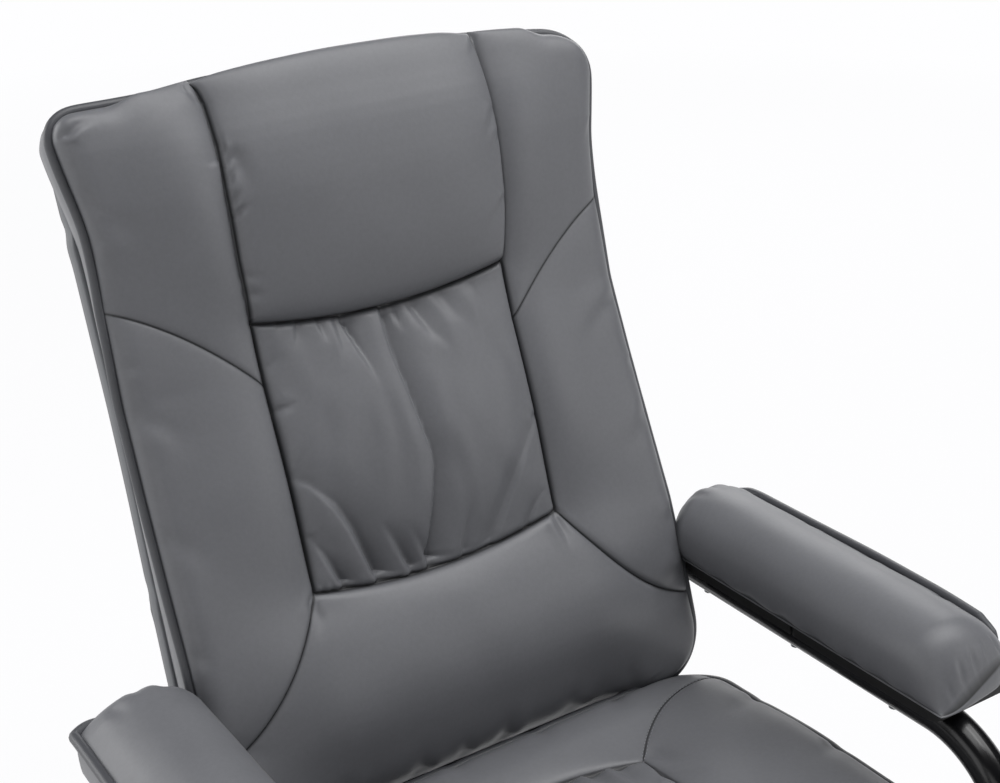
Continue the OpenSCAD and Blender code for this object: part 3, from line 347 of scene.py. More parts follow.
def ring_of(grid):
    """The points round the border of a grid, in order."""
    return np.concatenate([grid[0, :], grid[1:, -1], grid[-1, -2::-1], grid[-2:0:-1, 0]])


def cover(name, top, base_ring, bulge, bands, frame_matrix, shade, turned_hem=()):
    """A closed cushion cover: its top grid, a gusset that swells out by the bulge on its way
    down to the base ring, perhaps a hem turned in under the board, and a flat underside."""
    n, m = top.shape[:2]
    ring = ring_of(top)
    run = np.roll(base_ring, -1, 0) - np.roll(base_ring, 1, 0)
    out = out_of(base_ring, np.cross(run, ring.mean(0) - base_ring.mean(0)))
    rings = []
    for k in range(1, bands + 1):
        t = k / bands
        swell = bulge * 4 * t * (1 - t) + 0.8 * math.exp(-((t - 0.93) / 0.05) ** 2)
        rings.append(ring + (base_ring - ring) * t + out * swell)
    rings.extend(turned_hem)
    count = len(ring)
    verts = np.concatenate([top.reshape(-1, 3)] + rings + [rings[-1].mean(0)[None]])
    at = np.arange(n * m).reshape(n, m)
    faces = [np.stack([at[:-1, :-1], at[1:, :-1], at[1:, 1:], at[:-1, 1:]], -1).reshape(-1, 4)]
    before = ring_of(at)
    start = n * m
    for _ in rings:
        now = start + np.arange(count)
        faces.append(np.stack([before, np.roll(before, -1), np.roll(now, -1), now], -1))
        before = now
        start += count
    fan = [(int(a), int(b), start) for a, b in zip(before, np.roll(before, -1))]
    made = link(name, verts, [tuple(f) for group in faces for f in group] + fan)
    made.data.transform(frame_matrix)
    # The top grid carries painted shade in its seams and along its border, for the leather's
    # colour
    values = np.zeros(len(verts), np.float32)
    values[:n * m] = shade.ravel()
    made.data.attributes.new("painted_seam_shade", "FLOAT", "POINT").data.foreach_set("value", values)
    outward(made)
    return made


def outward(made):
    """Turns every face of a closed piece outwards."""
    bm = bmesh.new()
    bm.from_mesh(made.data)
    bmesh.ops.recalc_face_normals(bm, faces=bm.faces)
    bm.to_mesh(made.data)
    bm.free()


def tube(name, path, radius, closed, frame_matrix, sides=12):
    """A cord laid along a path in mm, as a closed mesh."""
    if closed:
        ahead, behind = np.roll(path, -1, 0), np.roll(path, 1, 0)
    else:
        ahead = np.concatenate([path[1:], path[-1:]])
        behind = np.concatenate([path[:1], path[:-1]])
    tangent = unit(ahead - behind)
    # The frame starts in a direction that no path here runs in and is carried along the path
    side = np.zeros_like(path)
    hint = np.array([0.31, 0.42, 0.85])
    for i, t in enumerate(tangent):
        side[i] = hint = unit(hint - t * (hint @ t))
    if closed:
        # What it has turned by on its way round is taken back a little at each point
        first = unit(side[0] - tangent[-1] * (side[0] @ tangent[-1]))
        up = np.cross(tangent[-1], side[-1])
        drift = math.atan2(first @ up, first @ side[-1])
        for i, t in enumerate(tangent):
            a = drift * i / (len(path) - 1)
            side[i] = side[i] * math.cos(a) + np.cross(t, side[i]) * math.sin(a)
    up = np.cross(tangent, side)
    angles = np.arange(sides) * 2 * math.pi / sides
    r = np.broadcast_to(np.asarray(radius, float), (len(path),))[:, None, None]
    verts = path[:, None] + r * (side[:, None] * np.cos(angles)[None, :, None]
                                 + up[:, None] * np.sin(angles)[None, :, None])
    n = len(path)
    at = np.arange(n * sides).reshape(n, sides)
    nxt = np.roll(at, -1, 0) if closed else at[1:]
    now = at if closed else at[:-1]
    faces = np.stack([now, np.roll(now, -1, 1), np.roll(nxt, -1, 1), nxt], -1).reshape(-1, 4)
    faces = [tuple(f) for f in faces]
    if not closed:
        faces += [tuple(at[0][::-1]), tuple(at[-1])]
    made = link(name, verts.reshape(-1, 3), faces)
    made.data.transform(frame_matrix)
    outward(made)
    return made


PEBBLE = 1.5


def leather(name, tone, rough=0.43):
    """Polyurethane leathercloth: a smooth, faintly pebbled film that gives a broad soft gloss."""
    made, tree = new_material(name)
    where = add(tree, "TexCoord").outputs["Object"]
    # Blotches 70 mm wide and specks 4 mm wide vary the film's colour a little
    cloud = add(tree, "TexNoise", {"Vector": where, "Scale": 1 / 0.070, "Detail": 3.0})
    speck = add(tree, "TexNoise", {"Vector": where, "Scale": 1 / 0.004, "Detail": 2.0})
    mixed = add(tree, "Math", {0: cloud, 1: speck}, operation="ADD")
    level = add(tree, "MapRange", {"Value": mixed, "From Min": 0.6, "From Max": 1.4,
                                   "To Min": 0.94, "To Max": 1.06})
    # Painted shade in the seams and along the borders darkens the colour down to a tenth
    seam = add(tree, "Attribute", attribute_name="painted_seam_shade", attribute_type="GEOMETRY")
    dark = add(tree, "MapRange", {"Value": seam.outputs["Fac"], "To Min": 1.0, "To Max": 0.10})
    total = add(tree, "Math", {0: level, 1: dark}, operation="MULTIPLY")
    base = add(tree, "VectorMath", {0: linear(tone)[:3], "Scale": total}, operation="SCALE")
    # The pebble is 0.6 mm on the real film and is drawn coarser, so that it shows
    pebble = add(tree, "TexVoronoi", {"Vector": where, "Scale": 1000 / PEBBLE},
                 feature="SMOOTH_F1")
    pore = add(tree, "TexNoise", {"Vector": where, "Scale": 400 / PEBBLE, "Detail": 3.0})
    height = add(tree, "Math", {0: pebble, 1: pore}, operation="ADD")
    bump = add(tree, "Bump", {"Height": height, "Strength": 0.10, "Distance": 0.0003})
    shine = add(tree, "MapRange", {"Value": cloud, "From Min": 0.3, "From Max": 0.7,
                                   "To Min": rough - 0.03, "To Max": rough + 0.04})
    skin = add(tree, "BsdfPrincipled", {"Base Color": base, "Roughness": shine, "IOR": 1.47,
                                        "Normal": bump})
    add(tree, "OutputMaterial", {"Surface": skin})
    return made


def facing(p, way):
    """Unit vectors into a grid's padding, along its normals, for folds to press along. The
    grid as a whole faces away from the given direction."""
    normals = unit(np.cross(np.gradient(p, axis=1), np.gradient(p, axis=0)))
    return normals if np.sum(normals * way, -1).mean() >= 0 else -normals


def pressed(top, press, way):
    return top + press[..., None] * facing(top, way)


def seam_shadow(nearest, width=1.0):
    """Painted shade on a cover's grid: 1 in its seams and along its border, 0 on the panels."""
    shade = np.exp(-(nearest / width) ** 2)
    for edge in (np.s_[0, :], np.s_[-1, :], np.s_[:, 0], np.s_[:, -1]):
        shade[edge] = 1.0
    return shade


def finished(made, material, body):
    made.data.materials.append(material)
    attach(made, body)


def cushion(node, top, rings, bulge, bands, frame_matrix, shade, body):
    """The cover that shows in the place of a cushion's solid. The first ring is the foot of its
    gusset and the others are its hem."""
    made = cover(f"{node}_cover", top, rings[0], bulge, bands, frame_matrix, shade, rings[1:])
    finished(made, GREY_LEATHER, body)
    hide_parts(node)


def nearest_row(places, *wanted):
    """Which of some places lies nearest to each wanted one."""
    return [int(np.argmin(np.abs(places - place))) for place in wanted]


GREY_LEATHER = leather("grey PU leathercloth, smooth rolled film", "#6B6C70")


def panel_rows(start, end, step=3.0):
    """Places across a panel, with extra ones where it rolls over into the seam at each end."""
    ends = np.array([0, 0.9, 2.2, 4.0])
    return np.concatenate([start + ends[:-1], spread(start + ends[-1], end - ends[-1], step, 0.2),
                           (end - ends[:-1])[::-1]])


def pillow(x, y, seams, strengths=None):
    """How far the panels stand out of their seams: a tight roll, a soft pillow and a crown,
    each from 0 on a seam to 1, and the distance to the nearest seam. A seam is as strong as 1
    unless its strength is given."""
    roll, soft, crown = np.ones_like(x), np.ones_like(x), np.ones_like(x)
    nearest = np.full(x.shape, 1e9)
    for key, line in seams.items():
        d, _, _ = line_distance(x, y, line)
        strength = (strengths or {}).get(key, 1.0)
        in_roll = np.sqrt(1 - (1 - np.clip(d / 6.0, 0, 1)) ** 2)
        roll *= 1 - strength ** 1.6 * (1 - in_roll)
        soft *= 1 - strength * np.exp(-d / 13.0)
        crown *= 1 - strength * np.exp(-d / 42.0)
        nearest = np.minimum(nearest, d)
    return roll, soft, crown, nearest


def across_panels(k, seam, half):
    """How far across a cushion a column lies that goes by -1 and 1 on the two long seams and by
    -2 and 2 at the borders."""
    out = np.clip(np.abs(k) - 1, 0, 1)
    return np.sign(k) * np.where(out > 0, seam + out * (half - seam), np.abs(k) * seam)


def back_waist(u):
    """How much narrower the cushion is at a height: a waist, and shoulders wider than its foot."""
    share = (u - BACK_FOOT) / (BACK_TOP - BACK_FOOT)
    return 7.0 * np.sin(np.pi * np.clip((share - 0.3) / 0.75, 0, 1)) ** 2 \
        - 7.6 * smooth((u - 470) / 170)


def back_bow(u):
    """Depth of the welts behind the plane of the seams, as the side view shows it."""
    share = (u - BACK_FOOT) / (BACK_TOP - BACK_FOOT)
    return 15.0 * np.interp(share, [0, .15, .28, .38, .5, .62, .75, .86, .94, 1],
                            [-.7, -.7, -.5, 0, .55, .95, .45, -.3, -.5, -.4])


def back_swell(u):
    """How far the padding swells in front of that plane."""
    share = (u - BACK_FOOT) / (BACK_TOP - BACK_FOOT)
    places = np.linspace(0, 1, 60)
    wave = 26.0 * np.interp(places, [0, .05, .12, .18, .25, .31, .38, .47, .6, .67, .76, .86,
                                     .93, 1],
                            [-.9, -.15, .75, 1, .78, .32, .32, .36, .12, .12, .62, 1, .85, .1])
    return np.interp(share, places, eased(wave, 4))


def back_seam_x(u, k):
    """Where the two long seams lie; the one on the left bends in under the top edge."""
    left = np.interp(u, [0, 452, 507, 565, 603, 636, 645, 656],
                     [LONG_SEAM, LONG_SEAM, 130, 130.5, 128.5, 127.5, 130, 138])
    right = np.interp(u, [0, 452, 507, 560, 640, 656],
                      [LONG_SEAM, LONG_SEAM, 133.5, 135, 138, 138])
    return np.where(k < 0, left, right)


back_u = joined(panel_rows(BACK_FOOT, LUMBAR_SEAM),
                panel_rows(LUMBAR_SEAM, DIAGONAL_SEAM, FINE_STEP),
                panel_rows(DIAGONAL_SEAM, HEAD_SEAM, FINE_STEP),
                panel_rows(HEAD_SEAM, BACK_TOP, FINE_STEP))
middle_m = panel_rows(-LONG_SEAM, LONG_SEAM, FINE_STEP) / LONG_SEAM
side_t = panel_rows(0, SIDE_PANEL, 2.9) / SIDE_PANEL
columns = joined(-1 - side_t[::-1], middle_m, 1 + side_t)
U, K = np.meshgrid(back_u, columns, indexing="ij")
in_middle = np.abs(K) <= 1
out_share = np.clip(np.abs(K) - 1, 0, 1)
half = BACK_HALF - back_waist(U)
X = across_panels(K, back_seam_x(U, K), half)
# In the side panels the rows run out along the two slanting seams; in the middle they sag
drop = np.interp(U, [BACK_FOOT, LUMBAR_SEAM, DIAGONAL_SEAM, HEAD_SEAM, BACK_TOP],
                 [0, -119, 92, 74, 0])
curl = np.interp(U, [LUMBAR_SEAM, DIAGONAL_SEAM], [0.75, 0.42])
sag = np.interp(U, [BACK_FOOT, LUMBAR_SEAM, HEAD_SEAM, BACK_TOP], [0, 13, 13, 0])
V = U + np.where(in_middle, -sag * (1 - K ** 2),
                 drop * out_share * (1 + curl - curl * out_share))
back_x, back_v = X, V
edge_x, edge_u = half - np.abs(X), np.minimum((V - BACK_FOOT) / 2, BACK_TOP - V)
# One upper corner is stuffed fuller than the other and the top edge falls away beside it
X, V = round_corners(X, V, half, BACK_FOOT, BACK_TOP, 60.0, np.where(X < 0, 24.0, 44.0))
fall = np.where(X < 0, 5 * smooth((-X - 110) / 70),
                13 * (np.maximum(0, X - 102) / 128) ** 1.3)
V = V - fall * smooth((V - BACK_TOP + 150) / 150)

BACK_LEFT, BACK_RIGHT = nearest_row(columns, -1, 1)
LUMBAR_ROW, DIAGONAL_ROW, HEAD_ROW = nearest_row(back_u, LUMBAR_SEAM, DIAGONAL_SEAM, HEAD_SEAM)
plan = np.stack([X, V], -1)
back_seams = {
    "long_left": plan[LUMBAR_ROW::3, BACK_LEFT], "long_right": plan[LUMBAR_ROW::3, BACK_RIGHT],
    "lumbar": plan[LUMBAR_ROW, BACK_LEFT:BACK_RIGHT + 1:2],
    "foot_left": plan[LUMBAR_ROW, :BACK_LEFT + 1:2], "foot_right": plan[LUMBAR_ROW, BACK_RIGHT::2],
    "head": plan[HEAD_ROW, BACK_LEFT:BACK_RIGHT + 1:2],
    "slant_left": plan[DIAGONAL_ROW, :BACK_LEFT + 1:2],
    "slant_right": plan[DIAGONAL_ROW, BACK_RIGHT::2]}
roll, soft, crown, nearest = pillow(X, V, back_seams, {
    "slant_left": 0.42, "slant_right": 0.42, "foot_left": 0.6, "foot_right": 0.6})
deep_seams = np.min([line_distance(X, V, back_seams[key])[0] for key in
                     ("long_left", "long_right", "lumbar", "head")], 0) + 2 * (V > HEAD_SEAM + 4)
full = dome(edge_x / 27) * dome(edge_u / 27)
rim = smooth((np.abs(X) / half - 0.52) / 0.48)
core = rim * back_bow(V) - (1 - rim) * back_swell(V)
# The lumbar panel lies lower than the bolsters; the head pillow overhangs its lower seam
stuffed = np.where(U < LUMBAR_SEAM, 11.0,
                   np.where(in_middle, np.where(U < HEAD_SEAM, 8.5, 11.0), 15.0))
from_head, _, _ = line_distance(X, V, back_seams["head"])
overhang = np.where(in_middle & (U > HEAD_SEAM), 6.0 * (1 - np.exp(-from_head / 4.0)), 0)
down_share = np.clip((HEAD_SEAM - U) / (HEAD_SEAM - LUMBAR_SEAM), 0, 1)
belly = np.where(in_middle, 12.0 * np.sin(np.pi * down_share ** 1.1)
                 * np.maximum(0, 1 - K ** 2) ** 0.6, 0)
groove = 7.0 - 3.2 * smooth((V - HEAD_SEAM) / 30)
Y = core - full * (groove * (roll - 0.94) + 5.0 * soft + stuffed * crown + overhang + belly)
# The head panels roll up over the top edge and hide the welt behind it
below = np.maximum(BACK_TOP - back_v, 0) / 8.0
above = np.where(in_middle, 7.0 + 10.0 * np.maximum(0, 1 - K ** 2) ** 0.6,
                 2.5 + 9.5 * smooth((0.62 - out_share) / 0.25))
V = V + above * below * np.exp(1 - below) * smooth((half - np.abs(X)) / 14)
back_top = np.stack([X, Y, V], -1)

lumbar_area = (np.abs(K) < 1) & (U > LUMBAR_SEAM) & (U < HEAD_SEAM)
# Creases of the lumbar panel: reach on the left and right, depth, and strength at the lower
# and upper end, then the line's points across and up the panel, all in mm
lumbar_folds = [
    # The long crease from seam to seam, in the middle
    (2.4, 17, 10.5, 1, 1, -14, 190, -14, 213, -8, 236, -3, 256, 1, 272, 5, 290, 6, 306, 4, 319,
     0, 348, -3, 377, -5, 398, -5, 414, -4, 430, -4, 450),
    # The fan of folds in the lower left corner
    (3, 15, 13, 1.1, 0.15, -62, 196, -66, 209, -82, 257, -94, 284, -112, 307, -126, 317),
    (2.6, 10, 11, 1.1, 0.1, -96, 200, -99, 213, -110, 239, -122, 262),
    (2.8, 10, 9.5, 1.1, 0, -30, 194, -33, 208, -45, 235, -58, 261),
    (2.6, 7, 5, 1, 0, -10, 192, -14, 207, -25, 234, -34, 256),
    (1.8, 4, 3, 1, 0, -109, 204, -110, 214, -113, 224),
    (1.8, 4, 3, 1, 0, -118, 206, -119, 215, -123, 226),
    # The lower right corner: a straight fold from seam to seam and short ones
    (2.4, 8, 4.4, 1, 0, 21, 192, 23, 210, 28, 229, 40, 264),
    (15, 2, 4.6, 1, 0.35, 50, 196, 57, 213, 83, 252, 101, 277, 124, 306),
    (6, 1.8, 2.6, 1, 0.2, 94, 204, 98, 215, 105, 225, 116, 235),
    # Gathers under the head seam
    (2.2, 7, 4, 0, 1, -97, 422, -89, 433, -84, 448), (1.8, 5, 2.6, 0, 1, -106, 436, -102, 450),
    (2.2, 8, 5, 0, 1, -62, 414, -64, 426, -67, 448),
    (2.6, 8, 4, 0, 1, -58, 392, -51, 416, -50, 446),
    (2.4, 10, 10, 0, 1, -27, 368, -33, 396, -36, 407, -40, 423, -44, 446),
    (1.8, 5, 4.5, 0, 1, 13, 408, 9, 424, 6, 444),
    (6, 13, 5, 0, 1, 58, 382, 38, 408, 31, 424, 24, 444),
    (6, 12, 3.2, 0, 1, 84, 392, 63, 420, 52, 446), (7, 12, 2.4, 0, 1, 108, 398, 93, 424, 84, 450),
    # The left seam
    (5, 3.4, 4.2, 0, 1, -100, 378, -116, 377, -129, 375),
    (6, 6, 2.4, 0, 1, -98, 424, -117, 417, -130, 408),
]
press = sum(crease(X, V, np.reshape(line, (-1, 2)), near, far, depth, start, end)
            for near, far, depth, start, end, *line in lumbar_folds)
press *= lumbar_area * (1 - 0.85 * np.exp(-(nearest / 3.2) ** 2))
# Sharp little puckers along the head panel's left seam, and folds at the other seams
head_puckers = [
    (2.2, 2.6, -128, 603, -126, 609, -123, 616), (2.2, 3.2, -127, 597, -126, 602, -123, 607),
    (2.4, 3.5, -128, 585, -125, 590, -120, 595), (2.8, 4.1, -128, 572, -125, 579, -119, 587),
    (2.6, 4.2, -129, 556, -125, 560, -120, 566), (2.4, 3.8, -130, 543, -123, 548, -112, 552),
]
panel_folds = [
    (5, 2.6, -133, 206, -131, 193, -141, 172), (5, 2.6, 124, 208, 126, 194, 128, 172),
    (10, 2.6, 248, 116, 226, 104, 190, 84), (10, 2.6, -248, 116, -226, 104, -190, 84),
    (9, 2.2, 243, 392, 214, 376, 184, 348), (9, 2, -243, 400, -222, 388, -196, 358),
    (9, 2, 250, 280, 228, 258, 200, 240), (9, 1.8, -250, 300, -230, 286, -206, 258),
    (7.5, 3.6, -119, 592, -116, 572, -113, 552), (3.4, 3.2, -250, 634, -240, 640, -222, 645),
    (12, 2, -226, 560, -212, 548, -206, 530), (3.4, 1.5, -130, 494, -121, 491, -110, 490),
    (3.4, 1.5, -129, 478, -121, 475, -110, 476), (5, 1.7, 131, 508, 118, 492, 104, 474),
    (4, 1.5, 134, 588, 124, 574, 112, 564), (4, 1.4, 135, 566, 124, 552, 110, 544),
    (3.8, 2.2, -139, 655, -133, 643, -122, 634), (3.8, 2.2, 139, 655, 133, 643, 122, 634),
    (4.4, 1.6, -247, 586, -238, 566, -230, 548), (4.4, 1.5, -246, 536, -238, 524, -228, 514),
    (4.4, 1.8, -249, 444, -236, 440, -220, 441), (4.4, 1.4, 247, 560, 238, 546, 228, 538),
    (4.4, 1.4, 249, 330, 236, 322, 222, 322), (5, 1.5, -252, 200, -240, 190, -224, 186),
    (5, 1.5, 252, 180, 240, 170, 224, 168), (9, 2.6, -60, 10, -58, 34, -50, 56),
    (9, 2.6, 30, 10, 34, 36, 28, 60), (9, 2.4, 110, 10, 104, 30, 108, 56),
    (9, 2.4, -150, 12, -140, 34, -142, 56), (8, 2.2, 180, 16, 170, 38, 172, 60),
    (7, 2, -12, 9, -14, 26, -8, 44),
]
at_seam = 1 - 0.85 * np.exp(-(nearest / 2.2) ** 2)
press += (folds(X, V, head_puckers, 0.12) + folds(X, V, panel_folds)) * at_seam
press += 0.8 * ripple(back_top, 60, 1) * np.minimum(1, nearest / 20) * full
press += np.where(lumbar_area, 1.2 * ripple(back_top * (1, 1, 0.4), 19, 2), 0) \
    * np.minimum(1, nearest / 14)
press *= smooth((half - np.abs(back_x)) / 9) * smooth(np.minimum(back_v - BACK_FOOT,
                                                                 BACK_TOP - back_v) / 9)
back_top = pressed(back_top, press, (0, 1, 0))
back_cut = back_top.copy()
# The lumbar panel is cut wider than its place, most at the two seams that gather it
gather = 1.01 + 0.02 * smooth((U - 330) / 110) + 0.03 * smooth((330 - U) / 110)
back_cut[..., 0] = np.where(lumbar_area, X * gather, X)
back_top = back_top + sewn(back_top, ~lumbar_area, 1.6, back_cut)

back_ring = ring_of(back_top)
BACK_MIDDLE, BACK_HALF_HEIGHT = (BACK_FOOT + BACK_TOP) / 2, 329
BOARD_REAR = 51.6


def drawn_in(ring, amount, half_x, half_u, depth):
    """The border ring drawn in by an amount towards the middle, at one depth."""
    inner = ring.copy()
    inner[:, 0] *= 1 - amount / half_x
    inner[:, 2] = BACK_MIDDLE + (inner[:, 2] - BACK_MIDDLE) * (1 - amount / half_u)
    inner[:, 1] = depth
    return inner


back_rings = [drawn_in(back_ring, amount, BACK_HALF, BACK_HALF_HEIGHT, depth)
              for amount, depth in ((5.0, 44.0), (5.5, 50.2), (7.0, BOARD_REAR),
                                    (34.0, BOARD_REAR), (36.0, 48.0))]
# Painted shade, 1.7 mm wide along the deep seams and 1 mm wide along the others
back_shade = seam_shadow(nearest, np.where(deep_seams < nearest + 0.5, 1.7, 1.0))
cushion("back_cushion", back_top, back_rings, 3.6, 9, LEANED, back_shade, "backrest")

# ---------------------------------------------------------------------------------------------
# Backrest welt: a 9 mm cord in a strip of the same leathercloth, sewn into the joint between
# the front panels and the side gusset all round.
BACK_CORD, SEAT_CORD = 4.6, 4.8


def run_along(path):
    """How far along a path each of its points lies."""
    return np.concatenate([[0], np.cumsum(np.linalg.norm(np.diff(path, axis=0), axis=1))])


def spaced(path, count):
    """So many points spaced evenly along a path."""
    run = run_along(path)
    at = np.linspace(0, run[-1], count)
    return np.stack([np.interp(at, run, column) for column in path.T], -1)


def resampled(ring, step):
    """A closed ring with its points about a step apart."""
    path = np.concatenate([ring, ring[:1]])
    return spaced(path, max(3, int(run_along(path)[-1] / step)) + 1)[:-1]


def welt(name, ring, radius, out_by, up_by, up, frame_matrix, body):
    """A welt along a cushion's border ring, moved outwards and up in mm."""
    path = resampled(ring, 3.6)
    for _ in range(4):
        path = (np.roll(path, 1, 0) + 2 * path + np.roll(path, -1, 0)) / 4
    out = out_of(path, np.cross(np.roll(path, -1, 0) - np.roll(path, 1, 0), up))
    wobble = 0.25 * ripple(path[None], 34, 5)[0]
    path = path + out * (out_by + wobble[:, None]) + np.multiply(up, up_by)
    made = tube(name, path, radius, True, frame_matrix)
    finished(made, SHADED_WELT_LEATHER, body)


# The welts are of the same leathercloth as the panels; their darker tone is painted shade
SHADED_WELT_LEATHER = leather("grey PU leathercloth, welts darkened as painted shade", "#4C4D51")
welt("back_welt", back_ring, BACK_CORD, 1.6, 1.6, (0, 1, 0), LEANED, "backrest")

# ---------------------------------------------------------------------------------------------
# Seat cushion: foam under the same leathercloth. A low centre panel gathered along a cross
# seam, two bolsters and a rear panel; a welt runs round its top and a gusset down to the board.
RAKED = slope_frame((0, 0, 352), 5.2)
SEAT_HALF, SEAT_FRONT, SEAT_REAR, SEAT_WELT = 249.0, -312.0, 166.0, 118.0
SEAT_SEAM, CROSS_SEAM = 107.0, 60.0
seat_v = joined(panel_rows(SEAT_FRONT, CROSS_SEAM), panel_rows(CROSS_SEAM, SEAT_REAR))
middle_m = panel_rows(-SEAT_SEAM, SEAT_SEAM) / SEAT_SEAM
side_t = panel_rows(0, SEAT_HALF - SEAT_SEAM) / (SEAT_HALF - SEAT_SEAM)
columns = joined(-1 - side_t[::-1], middle_m, 1 + side_t)
S, K = np.meshgrid(seat_v, columns, indexing="ij")
in_middle = np.abs(K) <= 1
out_share = np.clip(np.abs(K) - 1, 0, 1)
X = across_panels(K, SEAT_SEAM, SEAT_HALF)
rise = np.interp(S, [SEAT_FRONT, 0, CROSS_SEAM, SEAT_REAR], [0, 20, 71, 0])
bow = np.interp(S, [SEAT_FRONT, 0, CROSS_SEAM, SEAT_REAR], [0, 6, 22, 0])
V = S + np.where(in_middle, bow * (1 - K ** 2), rise * (1 - (1 - out_share) ** 2.3))
edge_x = SEAT_HALF - np.abs(X)
edge_v = np.minimum(V - SEAT_FRONT, (SEAT_REAR - V) * 0.8)
X, V = round_corners(X, V, SEAT_HALF, SEAT_FRONT, SEAT_REAR, 46.0, 56.0)
(CROSS_ROW,) = nearest_row(seat_v, CROSS_SEAM)
SEAT_LEFT, SEAT_RIGHT = nearest_row(columns, -1, 1)
plan = np.stack([X, V], -1)
seat_seams = {
    "cross": plan[CROSS_ROW, SEAT_LEFT:SEAT_RIGHT + 1:2],
    "long_left": plan[:CROSS_ROW + 1:3, SEAT_LEFT],
    "long_right": plan[:CROSS_ROW + 1:3, SEAT_RIGHT],
    "rear_left": plan[CROSS_ROW, :SEAT_LEFT + 1:2], "rear_right": plan[CROSS_ROW, SEAT_RIGHT::2]}
roll, soft, crown, nearest = pillow(X, V, seat_seams, {"rear_left": 0.45, "rear_right": 0.45})
full = dome(edge_x / 34) * dome(edge_v / 40)
welt_z = SEAT_WELT - 9.0 * smooth((V + 20) / 130) - 8.0 * smooth((V - 110) / 56)
tall = np.where(in_middle & (S < CROSS_SEAM), 6.0, 13.0)
for _ in range(30):
    tall[1:-1, 1:-1] = (tall[:-2, 1:-1] + tall[2:, 1:-1] + tall[1:-1, :-2] + tall[1:-1, 2:]) / 4
Y = welt_z + full * (3.2 * roll + 5.0 * soft + tall * crown - 1.0)
seat_top = np.stack([X, V, Y], -1)
centre_area = (np.abs(K) < 1) & (S > SEAT_FRONT) & (S < CROSS_SEAM)
# Gathers that run forward from the cross seam, and folds at the borders and the other seams
seat_gathers = [
    (7, 4, -88, 66, -84, 40, -86, 10), (8, 4.6, -62, 73, -60, 44, -66, 4),
    (8, 4.6, -36, 78, -33, 46, -30, -2), (7.5, 4.4, -12, 81, -10, 52, -14, 8),
    (8.5, 4.8, 10, 81, 12, 50, 10, 0), (7.5, 4.4, 34, 78, 32, 48, 38, 8),
    (8, 4.6, 58, 74, 60, 46, 56, 2), (7, 4, 84, 67, 82, 40, 88, 12),
    (8, 2.4, -105, -60, -88, -70, -60, -66), (8, 2.4, 105, -90, 86, -98, 58, -92),
    (8, 2.2, -105, -190, -86, -196, -60, -190), (8, 2.2, 105, -200, 86, -206, 60, -204),
]
seat_folds = [
    (7, 2.6, 120, 66, 126, 44, 140, 20), (7, 2.6, -120, 66, -126, 44, -140, 20),
    (9, 2, 108, 30, 124, 10, 150, -6), (9, 2, -108, 30, -124, 10, -150, -6),
    (8, 2, 247, 70, 226, 56, 196, 50), (8, 2, -247, 70, -226, 56, -196, 50),
    (8, 1.6, 247, -40, 228, -52, 200, -54), (8, 1.6, -247, -60, -228, -72, -200, -74),
    (8, 1.6, 247, -180, 226, -190, 196, -196), (8, 1.6, -247, -150, -226, -160, -196, -166),
    (8, 2, 150, -310, 146, -288, 138, -262), (8, 2, -150, -310, -146, -288, -138, -262),
    (8, 1.8, 30, -310, 26, -288, 30, -262), (8, 1.8, -50, -310, -46, -288, -50, -262),
    (9, 2.2, 60, 164, 58, 146, 50, 124), (9, 2.2, -30, 164, -34, 144, -30, 120),
    (8, 2, 150, 160, 140, 144, 136, 122), (8, 2, -140, 160, -132, 144, -130, 122),
]
press = folds(X, V, seat_gathers) * centre_area + folds(X, V, seat_folds)
press += 0.9 * ripple(seat_top, 60, 3) * np.minimum(1, nearest / 20) * full
seat_top = pressed(seat_top, press, (0, 0, -1))
seat_cut = seat_top.copy()
seat_cut[..., 0] = np.where(centre_area, X * (1 + 0.14 * smooth((S + 40) / 90)), X)
seat_top = seat_top + sewn(seat_top, ~centre_area, 3.5, seat_cut)
seat_ring = ring_of(seat_top)


def flat_rings(ring, middle, halves, *places):
    """The border ring drawn in towards the middle by some amounts, each at its height."""
    rings = []
    for draw, z in places:
        inner = ring.copy()
        for k in (0, 1):
            inner[:, k] = middle[k] + (inner[:, k] - middle[k]) * (1 - draw / halves[k])
        inner[:, 2] = z
        rings.append(inner)
    return rings


SEAT_MIDDLE, SEAT_HALVES = (0, (SEAT_FRONT + SEAT_REAR) / 2), (249, 239)
seat_rings = flat_rings(seat_ring, SEAT_MIDDLE, SEAT_HALVES, (3, 30), (4.5, 27), (6, 14),
                        (8, 11.9), (42, 11.9), (44, 15))
# Painted shade in the seat's seams and along its border
cushion("seat_cushion", seat_top, seat_rings, 3.5, 12, RAKED, seam_shadow(nearest), "seat")
welt("seat_welt", seat_ring, SEAT_CORD, 3.2, 0.6, (0, 0, 1), RAKED, "seat")

# ---------------------------------------------------------------------------------------------
# Arm pads: foam on a board under leathercloth. The top panel starts at the inner lower edge,
# rolls over the foam and ends at a welt on the outer side; a gusset strip closes the outside
# and runs out to nothing across both ends.
PAD_FRONT, PAD_REAR = -156.0, 222.0
PAD_MIDDLE, PAD_HALVES = (300, 33), (53, 189)
PAD_INNER_FOOT, PAD_OUTER_TOP, PAD_GUSSET_FOOT = (253, 218.5), (353.5, 248), 216.6
PAD_SECTION = np.array([PAD_INNER_FOOT, (248.5, 226), (247.4, 238), (250, 252), (258, 265),
                        (272, 275), (290, 279.5), (310, 277), (329, 268.5), (344, 258),
                        (354, 250.5)], float)


def smooth_curve(points, count):
    """A smooth curve through points, as so many points spaced along it."""
    p = np.concatenate([2 * points[:1] - points[1:2], points, 2 * points[-1:] - points[-2:-1]])
    t = np.linspace(0, 1, 12, endpoint=False)[:, None]
    fine = [0.5 * (2 * b + (c - a) * t + (2 * a - 5 * b + 4 * c - d) * t ** 2
                   + (3 * b - a - 3 * c + d) * t ** 3)
            for a, b, c, d in zip(p, p[1:], p[2:], p[3:])]
    return spaced(np.concatenate(fine + [points[-1:]]), count)


